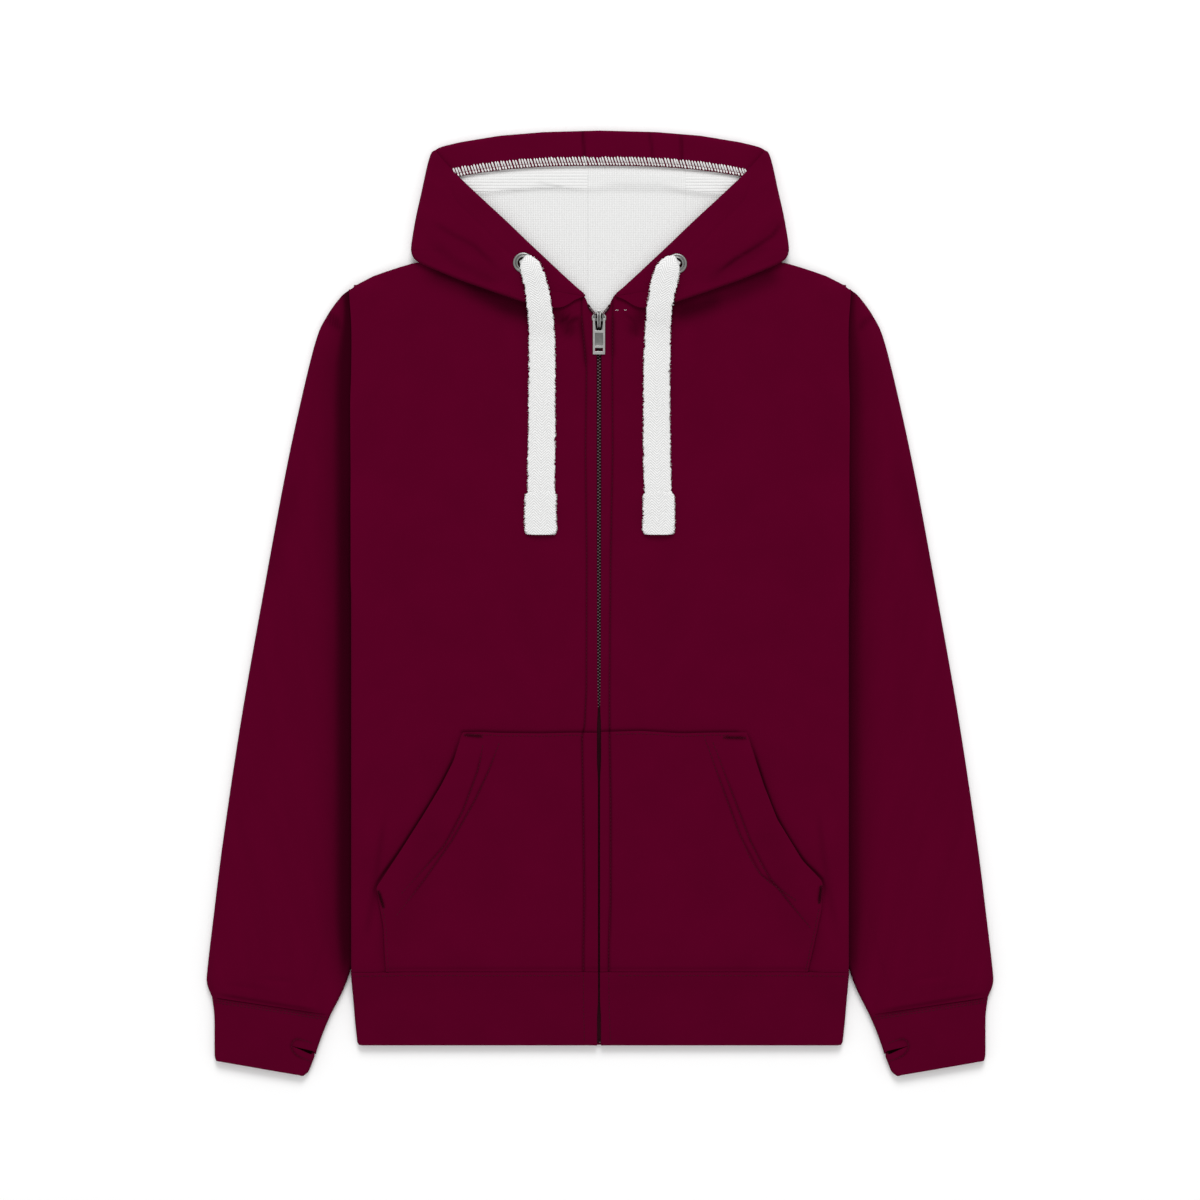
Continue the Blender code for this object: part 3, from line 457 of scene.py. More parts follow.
def clothPiece(name, points, thick, material, replaces, ring=False, keep=None, paintedShade=None,
               edgeRound=0.8, turned=None):
    # A wall of cloth on a grid of middle points, its cut edges rounded.
    points = np.asarray(points, float)
    rows, cols = points.shape[:2]
    wide = np.concatenate([points, points[:, :1] if ring else points[:, -1:]], axis=1)
    across, along = reach(wide, keep)
    if turned is not None:
        across, along = wide[:, :, 0] * mm, wide[:, :, 1] * mm
    faces, places = gridFaces(rows, cols, ring, keep)
    uvs = np.stack([across.ravel()[places], along.ravel()[places]], axis=-1)
    obj, used = putMesh(name, points.reshape(-1, 3), faces, uvs)
    # Painted shade for each point, which the cloth materials darken their colour by.
    shadeLayer = obj.data.attributes.new("paintedShade", "FLOAT", "POINT")
    shadeLayer.data.foreach_set("value", (np.zeros(rows * cols) if paintedShade is None else paintedShade.ravel())[used])
    if turned is not None:
        turnedLayer = obj.data.attributes.new("turned", "FLOAT", "POINT")
        turnedLayer.data.foreach_set("value", turned.ravel()[used])
    wall = obj.modifiers.new("wall", "SOLIDIFY")
    wall.thickness = thick * mm
    wall.offset = 0.0
    wall.use_quality_normals = True
    if edgeRound:
        roundEdges(obj, "rounded", edgeRound, 2, 62.0)
    obj.data.materials.append(material)
    finishPiece(obj, "garment", replaces)
    return obj


def finishPiece(obj, bodyName, replaces=None):
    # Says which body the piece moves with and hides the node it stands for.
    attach(obj, bodyName)
    if replaces:
        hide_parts(replaces)
    return obj


def sweptFaces(rings, points):
    # Quads of a tube of rings, with its two end rings folded shut in quads.
    r, k = np.meshgrid(np.arange(rings - 1), np.arange(points), indexing="ij")
    n = (k + 1) % points
    here, ahead = r * points, (r + 1) * points
    faces = np.stack([here + k, here + n, ahead + n, ahead + k], axis=-1).reshape(-1, 4)
    k = np.arange(points // 2 - 1)
    cap = np.stack([k, k + 1, points - 2 - k, points - 1 - k], axis=1)
    last = (rings - 1) * points + cap
    return np.concatenate([faces, cap[:, ::-1], last])


def strand(path, radius, sides):
    # Round section carried along a path, its plane held upright to the path.
    path = np.asarray(path, float)
    step = unit(np.gradient(path, axis=0))
    side = np.cross(step, [0.0, 0.0, 1.0])
    side /= np.linalg.norm(side, axis=1)[:, None] + 1e-9
    up = np.cross(side, step)
    a = np.arange(sides) * 2 * math.pi / sides
    radius = np.broadcast_to(radius, len(path))
    ring = side[:, None] * np.cos(a)[None, :, None] + up[:, None] * np.sin(a)[None, :, None]
    verts = path[:, None] + ring * radius[:, None, None]
    return verts.reshape(-1, 3), sweptFaces(len(path), sides)[:, ::-1]


def tube(name, path, radius, sides, material):
    obj = putMesh(name, *strand(path, radius, sides))[0]
    obj.data.materials.append(material)
    return obj


def turnedRing(name, profile, centre, steps, material):
    # A closed profile of radius, height carried round a circle.
    profile = np.array(profile, float)
    a = np.arange(steps) * 2 * math.pi / steps
    x = centre[0] + np.cos(a)[:, None] * profile[None, :, 0]
    y = centre[1] + np.sin(a)[:, None] * profile[None, :, 0]
    z = np.broadcast_to(profile[None, :, 1], x.shape)
    n = len(profile)
    r, k = np.meshgrid(np.arange(steps), np.arange(n), indexing="ij")
    ahead, after = (r + 1) % steps * n, (k + 1) % n
    faces = np.stack([r * n + k, ahead + k, ahead + after, r * n + after], axis=-1)
    obj = putMesh(name, np.stack([x, y, z], axis=-1).reshape(-1, 3), faces.reshape(-1, 4))[0]
    obj.data.materials.append(material)
    return obj


def copies(name, verts, faces, places, material):
    # One joined mesh: a small shape put at each place, given as rows of a 3 by 3 turn and an origin.
    turns, origins = places
    count = len(origins)
    many = np.einsum("nij,vj->nvi", turns, np.asarray(verts, float)) + origins[:, None]
    faces = np.asarray(faces)[None] + np.arange(count)[:, None, None] * len(verts)
    obj = putMesh(name, many.reshape(-1, 3), faces.reshape(-1, faces.shape[2]))[0]
    obj.data.materials.append(material)
    return obj


def framesAlong(points):
    # Turns whose first axis runs along a line and whose third points up from the cloth.
    step = unit(np.gradient(points, axis=0))
    side = unit(np.cross(np.tile([0.0, 0.0, 1.0], (len(points), 1)), step))
    return np.stack([step, side, np.cross(step, side)], axis=2)


sewing = {"stitch": 2.5, "gap": 0.75, "thread": 0.52, "sink": 0.12, "jitter": 0.09}


def stitchShape():
    # One stitch: a bowed six sided strand, its ends dipping into the cloth.
    x = np.array([-0.5, -0.42, -0.2, 0.2, 0.42, 0.5]) * sewing["stitch"]
    bow = np.array([-0.5, -0.1, 0.1, 0.1, -0.1, -0.5]) * sewing["thread"]
    fat = np.array([0.3, 0.8, 1.0, 1.0, 0.8, 0.3]) * sewing["thread"] / 2
    a = np.arange(6) * math.pi / 3
    y = fat[:, None] * np.cos(a)
    z = fat[:, None] * np.sin(a) * 0.8 + bow[:, None]
    verts = np.stack([np.repeat(x, 6), y.ravel(), z.ravel()], axis=1)
    return verts, sweptFaces(6, 6)


def stitchRow(name, lines, heightAt, material):
    # Stitches laid end to end along plan lines, on the height that a function gives.
    turns, origins = [], []
    for line in lines:
        dots = evenly(line, sewing["stitch"] + sewing["gap"])[:, :2]
        if len(dots) < 3:
            continue
        dots = dots + chance.normal(0.0, sewing["jitter"], dots.shape)
        height = heightAt(dots[:, 0], dots[:, 1]) + sewing["thread"] / 2 - sewing["sink"]
        places = np.column_stack([dots, height])
        turns.append(framesAlong(places))
        origins.append(places)
    verts, faces = stitchShape()
    obj = copies(name, verts, faces, (np.concatenate(turns), np.concatenate(origins)), material)
    return finishPiece(obj, "garment")


# body: back, fronts, hem band and pockets

cloth = {"fleece": 2.4, "band": 2.8, "pocket": 2.2, "lining": 1.6, "tape": 0.8, "gap": 0.3, "ply": 4.2,
         "turn": 65.0}
body = {"half": 218.7, "underarm": 25.5, "hemSeam": -323.0, "hemBottom": -387.5, "zipX": -0.9,
        "ramp": 40.0, "rampEnd": 8.0, "neckLift": 1.5, "headLift": 2.8, "swell": 0.35}
floorMid = cloth["fleece"] / 2
bodyRise = cloth["fleece"] + cloth["ply"] + 2 * cloth["gap"]

# distance from the middle, height
frontTop = [(2.2, 256.1), (7.5, 257.4), (12.8, 271.6), (23.3, 269.4), (33.9, 263.8), (51.5, 263.0),
            (58.5, 269.3),
            (70.0, 280.7), (87.6, 297.4), (114.0, 300.1), (164.0, 300.1), (177.0, 296.6), (189.0, 292.7),
            (201.0, 288.5), (214.0, 281.6), (219.0, 278.2), (224.0, 274.0)]
# height, distance of the front's side edge from the middle
frontSide = [(-340.0, 218.7), (60.0, 218.7), (100.0, 218.9), (177.0, 219.5), (200.0, 218.6), (230.0, 218.2),
             (247.0, 218.5), (262.0, 219.6), (280.0, 220.9)]
backTop = [(0.0, 300.1), (164.0, 300.1), (177.0, 296.6), (189.0, 292.5), (201.0, 288.0), (214.0, 281.2)]

# outer fold x, y, inner fold x, y
sleeveRows = [(214.5, 279.2, 213.0, 25.5), (221.5, 275.3, 213.0, 19.5), (228.4, 269.3, 213.0, 13.0),
              (239.8, 253.4, 209.5, -24.0),
              (249.5, 232.3, 204.0, -62.0), (262.7, 179.5, 195.5, -97.0), (277.6, 109.1, 185.5, -132.0),
              (297.0, 3.5, 177.0, -165.0), (315.5, -102.1, 176.0, -200.0), (331.3, -207.7, 187.0, -243.0),
              (340.1, -278.1, 206.8, -286.9), (345.0, -320.0, 218.7, -320.3), (345.4, -333.5, 225.6, -338.8),
              (341.0, -345.0, 236.8, -360.9)]

# start x, y, middle x, y, end x, y, width, depth
frontFolds = {
    -1: [(77, 268, 79, 252, 76, 232, 8.0, 1.1), (31, 254, 34, 240, 33, 222, 6.0, 0.9),
         (112, 262, 118, 238, 110, 206, 13.0, 0.7), (196, 200, 176, 130, 170, 70, 16.0, 0.7),
         (205, 30, 172, -10, 120, -60, 15.0, 0.8), (208, -30, 190, -90, 176, -150, 12.0, 0.8),
         (40, 40, 62, -20, 56, -80, 20.0, 0.5), (205, -215, 200, -265, 206, -316, 7.0, 0.6)],
    1: [(80, 268, 77, 250, 79, 236, 7.5, 1.1), (34, 262, 36, 246, 34, 230, 6.5, 0.9),
        (128, 258, 122, 230, 130, 196, 14.0, 0.6), (190, 214, 178, 150, 182, 96, 15.0, 0.7),
        (207, 38, 166, 4, 128, -70, 16.0, 0.7), (210, -44, 186, -120, 190, -176, 12.0, 0.8),
        (70, 90, 52, 30, 60, -50, 22.0, 0.5), (208, -206, 203, -262, 210, -314, 7.0, 0.6)],
}

# height, distance of the stitched line from the zip
placketLine = {-1: [(254, 15.4), (206, 11.0), (135, 11.9), (39, 10.8), (-76, 11.2), (-110, 12.8),
                    (-114, 15.0),
                    (-172, 14.0), (-260, 12.9), (-304, 13.9), (-350, 13.6), (-388, 12.8)],
               1: [(254, 12.0), (206, 11.6), (135, 12.0), (39, 10.1), (-76, 9.2), (-120, 9.3), (-172, 10.2),
                   (-260, 10.1), (-304, 8.5), (-350, 8.8), (-388, 10.1)]}
# height, half the opening between the fronts
zipOpening = [(256, 2.4), (214, 2.1), (80, 1.9), (-60, 1.5), (-95, 0.95), (-104, 1.7), (-142, 1.7),
              (-152, 0.8),
              (-300, 0.75), (-350, 0.8), (-360, 1.6), (-388, 1.7)]
placket = {"dip": 0.65, "width": 1.25, "lift": 0.9, "liftReach": 7.0}


def sleeveInner(y):
    # Distance of the sleeve's inner fold from the middle at a height.
    rows = sorted((r[3], r[2]) for r in sleeveRows)
    return np.interp(y, [r[0] for r in rows], [r[1] for r in rows])


def besideSleeve(y):
    # 1 where a sleeve lies under the body, fading out part way up the armhole and at the hem.
    return ease(118.0, 82.0, y) * ease(-366.0, -316.0, y)


def rise(x, y):
    # How far the body has climbed onto the sleeve, 0 to 1.
    near = np.abs(x) - sleeveInner(y)
    return ease(-body["ramp"] - body["rampEnd"], -body["rampEnd"], near) * besideSleeve(y)


def backMid(x, y):
    # The back lies on the floor, and climbs over the flattened sleeve.
    return floorMid + bodyRise * rise(x, y)


def frontMid(x, y):
    # One ply over the back, higher over the lining at the neck and over the head of the sleeve.
    x = np.abs(x)
    neck = body["neckLift"] * ease(64.0, 40.0, x) * ease(170.0, 212.0, y)
    head = body["headLift"] * ease(184.0, 208.0, x) * ease(285.0, 276.0, y) * ease(82.0, 118.0, y)
    return backMid(x, y) + cloth["ply"] + neck + head


def frontRelief(x, y, side):
    # Folds, the slow swell, the stitched line beside the zip and the lifted edge over the teeth.
    line = readRows(placketLine[side], y, soft=4.0)
    sewn = -placket["dip"] * np.exp(-((x - line) / placket["width"]) ** 2)
    lip = placket["lift"] * ease(placket["liftReach"], 1.5, x) * ease(262.0, 250.0, y)
    swell = body["swell"] * settle(x * side, y, 11) * ease(214.0, 190.0, x) * ease(-318.0, -280.0, y)
    swell = swell * ease(20.0, 50.0, x)
    return folds(x, y, frontFolds[side]) + sewn + lip + swell


def sideSeam(y):
    # 0 above the underarm, 1 below it.
    return ease(body["underarm"] + 2.0, body["underarm"] - 18.0, y)


def armhole(y):
    # The armhole leans outwards in a straight line from the underarm to the shoulder.
    return 213.0 + 4.0 * (y - body["underarm"]) / (277.0 - body["underarm"])


def frontEdge(y):
    # The table's edge, drawn in by half the cloth's thickness along the side seam.
    return readRows(frontSide, y, soft=6.0) - cloth["fleece"] / 2 * sideSeam(y)


def backEdge(y):
    # Just inside the armhole above the underarm, and at the body's half width below it.
    seam = ease(body["underarm"] + 2.0, body["underarm"] - 10.0, y)
    return (armhole(y) - cloth["gap"] - 0.1) * (1.0 - seam) + (body["half"] - cloth["fleece"] / 2) * seam


# the first level row, a front's edge at the zip, the armhole's end, where the turned shoulder starts and is
# full, the space between the rows under the hood, and the part of the panel over which they level out
panel = {"level": 264.0, "start": 2.2, "armhole": 281.0, "shownFrom": 155.0, "shownTo": 176.0, "step": 1.2,
         "under": 3.6, "settles": 0.34}


def panelHalf(topRows, level, edge, turn, start, u, v):
    # Rows follow the top edge and then run level to the hem; shoulder and side fold turn to the other layer.
    radius = cloth["ply"] / 2
    turns = np.radians(np.array([cloth["turn"], 45.0, 22.0]))
    v = v[:, None]
    topX = panel["start"] + (edge(np.array(panel["armhole"])) - panel["start"]) * u
    tops = readRows(topRows, topX, soft=2.0)
    shown = ease(panel["shownFrom"], panel["shownTo"], topX)
    ys, drops = [], []
    for r, angle in enumerate(turns):
        drop = cloth["fleece"] / 2 + radius * (1.0 - math.sin(angle))
        ys.append(tops - shown * drop - (1.0 - shown) * panel["step"] * r)
        drops.append(shown * radius * (1.0 - math.cos(angle)))
    first = tops - shown * (cloth["fleece"] / 2 + radius) - (1.0 - shown) * panel["under"]
    levelY = panel["level"] + (body["hemSeam"] + cloth["gap"] / 2 - panel["level"]) * v
    ys = np.concatenate([np.array(ys), levelY + (first - panel["level"]) * ease(panel["settles"], 0.0, v)])
    startX = start(ys)
    x = startX + (edge(ys) - radius - startX) * u
    z = level(x, ys)
    z[:3] += turn * np.array(drops)
    base = np.stack([x, ys, z], axis=2)
    seam = sideSeam(ys[:, -1])
    turned = []
    for angle in turns[::-1]:
        column = base[:, -1].copy()
        column[:, 0] += radius * math.sin(angle)
        column[:, 2] += turn * seam * radius * (1.0 - math.cos(angle))
        turned.append(column)
    return np.concatenate([base, np.stack(turned, axis=1)], axis=1)


def besideZip(x, side):
    # From distance to the middle to true x: the zip lies a little off the middle.
    x = np.asarray(x, float)
    return side * x + body["zipX"] * (1.0 - x / body["half"])


# width, amount, then the line's points as distance from the middle and height
frontGloom = {
    -1: [(10.0, 0.5, [(158, 298), (140, 291), (105, 276), (83, 265), (60, 258), (38, 258)]),
         (7.0, 0.38, [(124, 284), (105, 273), (83, 261), (66, 255), (56, 250)]),
         (6.5, 0.45, [(44, 260), (34, 252), (26, 243), (28, 232)]),
         (1.5, 0.5, [(40, 249), (30, 250.4), (22, 249.6), (15, 250.5)]),
         (2.6, 0.4, [(17, 255), (15.5, 242), (12.6, 222), (11, 205)]),
         (3.0, 0.16, [(206, -300), (196, -240), (188, -180)])],
    1: [(10.0, 0.46, [(160, 299), (148, 289), (124, 277), (90, 264), (64, 257), (40, 258)]),
        (7.0, 0.36, [(112, 272), (90, 261), (76, 257), (66, 252)]),
        (6.0, 0.4, [(42, 259), (36, 251), (31, 242), (34, 232)]),
        (1.4, 0.32, [(16, 252.4), (26, 252), (34, 251.4)]),
        (2.4, 0.35, [(12.5, 255), (11.8, 236), (12.6, 212)]),
        (3.0, 0.14, [(208, -290), (198, -236), (190, -176)])],
}
placketGloom = {"width": 1.25, "high": 0.46, "low": 0.62}
openingGloom = {"width": 1.7, "amount": 0.8}


def pocketMouth(side, out):
    # The pocket's slanted opening, from its upper tack to its lower one, moved outwards.
    rows = [(x + out, y) for y, x in pocketEdge[side] if -268.0 < y < -112.0]
    return evenly(curveThrough(rows, 40), 9.0)


def placketShade(x, y, side):
    # Painted shade: a bell curve of the distance from the stitched line, deeper low down.
    away = x - readRows(placketLine[side], y, soft=4.0)
    amount = placketGloom["high"] + (placketGloom["low"] - placketGloom["high"]) * ease(-40.0, -130.0, y)
    return amount * np.exp(-(away / placketGloom["width"]) ** 2)


def frontShade(x, y, side):
    # Painted shade on a front: one less what is left of the light after each shaded line takes its share.
    left = (1.0 - placketShade(x, y, side)) * (1.0 - gloom(x, y, frontGloom[side]))
    above = y - readRows(pocketTop[side], x, soft=4.0) - 0.5
    left *= 1.0 - 0.46 * np.exp(-(above / 1.4) ** 2) * ease(124.0, 120.0, x)
    left *= 1.0 - gloom(x, y, [(openingGloom["width"], openingGloom["amount"], pocketMouth(side, 1.0))])
    return 1.0 - left


def addFront(side, material):
    # Finer beside the zip and round the pocket's opening.
    u = spaced((0.0, 18.0, 0.9), (18.0, 116.0, 4.0), (116.0, 202.0, 1.5), (202.0, 218.0, 3.0)) / 218.0
    v = spaced((panel["level"], -108.0, 4.0), (-108.0, -272.0, 1.5), (-272.0, -323.0, 3.5))
    points = panelHalf(frontTop, lambda x, y: frontMid(x, y) + frontRelief(x, y, side), frontEdge, -1.0,
                       lambda y: readRows(zipOpening, y, soft=6.0), u,
                       (panel["level"] - v) / (panel["level"] - body["hemSeam"]))
    # Painted shade under the hood's wings, along the stitched lines and folds, and round the pocket.
    paintedShade = frontShade(points[:, :, 0], points[:, :, 1], side)
    points[:, :, 0] = besideZip(points[:, :, 0], side)
    clothPiece("front" + sideWord[side], points, cloth["fleece"], material, "front_" + nodeWord[side],
               paintedShade=paintedShade)


def addBack(material):
    # One half from the panel's rows, the other its mirror.
    half = panelHalf(backTop, backMid, backEdge, 1.0, lambda y: np.zeros(np.shape(y)),
                     np.linspace(0.0, 1.0, 36),
                     np.linspace(0.0, 1.0, 102))
    other = half[:, :0:-1].copy()
    other[:, :, 0] *= -1.0
    clothPiece("backPanel", np.concatenate([other, half], axis=1), cloth["fleece"], material, "back")


hem = {"lowSide": [(-388.0, 211.8), (-386.0, 213.2), (-366.0, 215.4), (-323.0, 218.6)], "met": 1.5,
       "puff": 0.35}


def bandRelief(x, y):
    # The band swells a little between its seam and its fold, and rises to the pocket's edge.
    inside = ease(body["hemSeam"], body["hemSeam"] - 14.0, y)
    inside = inside * ease(body["hemBottom"], body["hemBottom"] + 12.0, y)
    met = hem["met"] * ease(body["hemSeam"] - 18.0, body["hemSeam"] - 1.0, y) * ease(196.0, 184.0, np.abs(x))
    return hem["puff"] * inside * (1.0 + 0.6 * settle(x, y * 0.4, 5)) + met


def addHemBand(material):
    # The band's section goes from the zip round one side, across the back and round the other side.
    ys = body["hemSeam"] + 0.08 - (body["hemSeam"] - body["hemBottom"] + 0.08) * np.linspace(0, 1, 24)
    radius = cloth["ply"] / 2
    low = (cloth["band"] - cloth["fleece"]) / 2
    y = ys[:, None]
    edge = readRows(hem["lowSide"], y) - cloth["band"] / 2 - radius
    start = readRows(zipOpening, y, soft=4.0)
    front = start + (edge - start) * np.linspace(0.0, 1.0, 64)[None, :-1]
    lip = placket["lift"] * ease(placket["liftReach"], 1.5, front)
    frontZ = frontMid(front, y) + low + bandRelief(front, y) + lip
    turn = np.radians(np.linspace(0.0, 180.0, 9))[None]
    sideX = edge + radius * np.sin(turn)
    sideZ = backMid(edge, y) + low + radius * (1.0 + np.cos(turn))
    back = edge * np.linspace(1.0, 0.06, 24)[None, 1:]
    backZ = backMid(back, y) + low
    x = np.concatenate([front, sideX, back], axis=1)
    z = np.concatenate([frontZ, sideZ, backZ], axis=1)
    lift = 0.8 * np.sin(turn) * ease(body["hemBottom"] + 4.0, body["hemBottom"], y)
    y = np.concatenate([y + 0.0 * front, y + lift, y + 0.0 * back], axis=1)
    right = np.stack([besideZip(x, -1), y, z], axis=2)
    left = np.stack([besideZip(x, 1), y, z], axis=2)
    points = np.concatenate([right, left[:, ::-1]], axis=1)
    clothPiece("hemBand", points, cloth["band"], material, "waistband",
               edgeRound=0.5)


# distance from the middle, height of the pocket's upper edge
pocketTop = {-1: [(0, -113.0), (25, -112.9), (51, -113.6), (87, -113.2), (104, -112.3), (121, -112.6),
                  (220, -112.6)],
             1: [(0, -112.4), (36, -111.3), (72, -113.6), (98, -112.8), (130, -112.6), (220, -112.6)]}
# height, distance from the middle
pocketEdge = {-1: [(-112.6, 119.4), (-114.0, 121.0), (-137.3, 128.0), (-160.0, 139.5), (-184.8, 154.4),
                   (-216.5, 174.7), (-248.2, 195.8), (-267.5, 192.3), (-282.5, 189.6), (-322.7, 187.9)],
              1: [(-112.6, 129.0), (-114.0, 129.8), (-137.3, 137.0), (-158.8, 143.9), (-188.3, 155.3),
                  (-224.4, 177.3), (-242.9, 194.9), (-267.5, 194.0), (-322.7, 182.6)]}
# stitched lines along the slanted opening, distance from the middle and height
pocketSewn = {-1: [[(102.5, -125.0), (107.0, -146.1), (120.1, -181.3), (136.8, -212.1), (172.9, -252.6)],
                   [(88.4, -123.2), (97.2, -146.1), (109.6, -172.5), (129.8, -207.7), (153.6, -241.1),
                    (177.3, -271.9)]],
              1: [[(100.0, -122.3), (132.4, -207.7), (149.6, -240.2), (183.5, -282.5)],
                  [(91.9, -116.2), (123.6, -203.3), (141.2, -236.7), (170.7, -258.7)]]}
pocket = {"top": -112.6, "gap": 1.0, "gape": 1.7, "dip": 0.45, "topSewn": 2.2,
          "seamGap": 0.1, "sewnWide": 1.4}
pocketFolds = {-1: [(60, -150, 90, -210, 84, -300, 16.0, 0.7), (150, -262, 120, -290, 70, -312, 12.0, 0.6),
                    (30, -130, 40, -190, 30, -260, 14.0, 0.4)],
               1: [(74, -140, 100, -220, 92, -306, 17.0, 0.7), (158, -258, 130, -286, 96, -314, 12.0, 0.6),
                   (34, -150, 46, -220, 36, -300, 15.0, 0.4)]}


def pocketMid(x, y, side):
    # The front's own surface moved out, standing a little open along the slanted edge.
    outer = readRows(pocketEdge[side], y)
    across = np.clip(x / outer, 0.0, 1.0)
    gape = pocket["gape"] * ease(-262.0, -225.0, y) * ease(-114.0, -134.0, y) * ease(0.72, 1.0, across)
    line = readRows(placketLine[side], y, soft=4.0)
    sewn = -placket["dip"] * np.exp(-((x - line) / placket["width"]) ** 2)
    lip = placket["lift"] * ease(placket["liftReach"], 1.5, x)
    gap = pocket["seamGap"] + (pocket["gap"] - pocket["seamGap"]) * ease(body["hemSeam"],
                                                                         body["hemSeam"] + 16.0, y)
    total = frontMid(x, y) + (cloth["fleece"] + cloth["pocket"]) / 2 + gap + gape + sewn + lip
    for row in pocketSewn[side]:
        total = total + trough(x, y, row, pocket["sewnWide"], pocket["dip"])
    return total + folds(x, y, pocketFolds[side]) * ease(0.0, 0.1, across) * ease(1.0, 0.9, across)


def addPocket(side, material):
    # Even rows and columns between the zip, the slanted edge, the wavy top and the hem seam.
    v = np.linspace(0.0, 1.0, 136)[:, None]
    y = pocket["top"] + (body["hemSeam"] + cloth["gap"] / 2 - pocket["top"]) * v
    u = np.linspace(0.0, 1.0, 122)[None]
    start = readRows(zipOpening, y, soft=6.0)
    x = start + (readRows(pocketEdge[side], y, soft=2.0) - start) * u
    wavy = (readRows(pocketTop[side], x, soft=4.0) - pocket["top"]) * ease(-118.0, -112.0, y)
    y = np.broadcast_to(y, x.shape) + wavy
    z = pocketMid(x, np.minimum(y, pocket["top"]), side)
    points = np.stack([besideZip(x, side), y, z], axis=2)
    # Painted shade along the stitched lines, the bartacks and the hem seam.
    lines = [(1.2, 0.4, row) for row in pocketSewn[side]] + [(1.7, 0.55, row) for row in bartacks[side]]
    paintedShade = (1.0 - placketShade(x, y, side)) * (1.0 - gloom(x, y, lines))
    paintedShade = 1.0 - paintedShade * (1.0 - 0.2 * np.exp(-((y - body["hemSeam"] - 3.6) / 1.2) ** 2))
    clothPiece("pocket" + sideWord[side], points, cloth["pocket"], material, "pocket_" + nodeWord[side],
               paintedShade=paintedShade)


# sleeves and cuffs

# distance along the sleeve 0 to 1, across 0 (outer fold) to 1, run along, run across, width, depth
sleeveFolds = {-1: [(0.30, 0.25, 0.10, 0.35, 0.035, 0.9), (0.52, 0.12, 0.05, 0.40, 0.03, 0.8),
                    (0.60, 0.30, 0.07, -0.22, 0.03, 0.7), (0.88, 0.35, 0.03, 0.3, 0.02, 0.8),
                    (0.93, 0.12, 0.02, 0.36, 0.016, 0.7)],
               1: [(0.26, 0.30, 0.12, 0.30, 0.035, 0.9), (0.48, 0.16, 0.06, 0.36, 0.03, 0.7),
                   (0.64, 0.34, 0.06, -0.24, 0.03, 0.8), (0.86, 0.28, 0.04, 0.34, 0.02, 0.8),
                   (0.94, 0.16, 0.015, 0.30, 0.016, 0.6)]}
# width, amount, then the line's points as distance from the middle and height
sleeveGloom = {-1: [(2.2, 0.4, [(241, 256.5), (235, 253), (227, 246)]),
                    (2.2, 0.4, [(241, 249.5), (234, 246), (226, 241)]),
                    (9.0, 0.1, [(262, 120), (282, 60), (292, 10)]),
                    (1.6, 0.35, [(343, -341), (290, -350), (238, -359)])],
               1: [(2.4, 0.3, [(242, 254), (234, 249), (226, 240)]),
                   (9.0, 0.1, [(258, 130), (280, 66), (296, 0)]),
                   (1.6, 0.35, [(343, -341), (290, -350), (238, -359)])]}
sleeve = {"puff": 2.4, "upperFrom": 3.0}  # the upper wall is shaded from this height on
# distance from the body's edge, how much painted shade
paintedShadeFall = {-1: [(-4.0, 0.72), (7.6, 0.7), (10.0, 0.62), (12.0, 0.5), (14.0, 0.34), (16.0, 0.22),
                 (19.0, 0.16), (24.0, 0.09),
                 (33.0, 0.03), (42.0, 0.0), (90.0, 0.0)],
            1: [(-4.0, 0.66), (1.0, 0.62), (4.0, 0.54), (7.5, 0.44), (10.6, 0.27), (14.0, 0.13), (22.0, 0.05),
                (32.0, 0.0), (90.0, 0.0)]}


def planNormals(points, sign):
    # Square to a plan line, to its left where sign is 1.
    step = np.gradient(points, axis=0)
    return unit(np.stack([-step[:, 1], step[:, 0]], axis=1) * sign)


foldSteps = 9  # rows of points round each fold of a sleeve or cuff


def flatTube(rows, side, thick, above, inner, head=None):
    # Over the top from the outer to the inner fold and back along the floor, one closed ring a row.
    outer, inside = rows[:, 0:2], rows[:, 2:4]
    radius = cloth["ply"] / 2
    outNormal, inNormal = planNormals(outer, 1.0), planNormals(inside, -1.0)
    if head is None:
        outNormal = unit(outer - inside)
        inNormal = -outNormal
    else:
        outNormal[0] = head
        last = unit(outer[-1] - inside[-1])
        near = ease(0.94, 1.0, np.linspace(0.0, 1.0, len(rows)))[:, None]
        outNormal = outNormal * (1.0 - near) + last * near
        inNormal = inNormal * (1.0 - near) - last * near
    a = outer - outNormal * (thick / 2 + radius)
    b = inside - inNormal * (thick / 2 + radius)
    mid = thick / 2 + radius
    turn = np.radians(np.linspace(-90.0, 90.0, foldSteps))
    along = np.linspace(0.0, 1.0, len(rows))
    places, heights = [], []
    for angle in turn:
        places.append(a + outNormal * radius * math.cos(angle))
        heights.append(np.full(len(rows), mid + radius * math.sin(angle)))
    for t in inner[1:-1]:
        place = a + (b - a) * t
        places.append(place)
        heights.append(2 * mid - thick / 2 + above(place, along, t))
    for angle in turn[::-1]:
        places.append(b + inNormal * radius * math.cos(angle))
        heights.append(np.full(len(rows), mid + radius * math.sin(angle)))
    for t in np.linspace(1.0, 0.0, 12)[1:-1]:
        places.append(a + (b - a) * t)
        heights.append(np.full(len(rows), thick / 2))
    plan = np.stack(places, axis=1)
    return np.stack([side * plan[:, :, 0], plan[:, :, 1], np.stack(heights, axis=1)], axis=2)


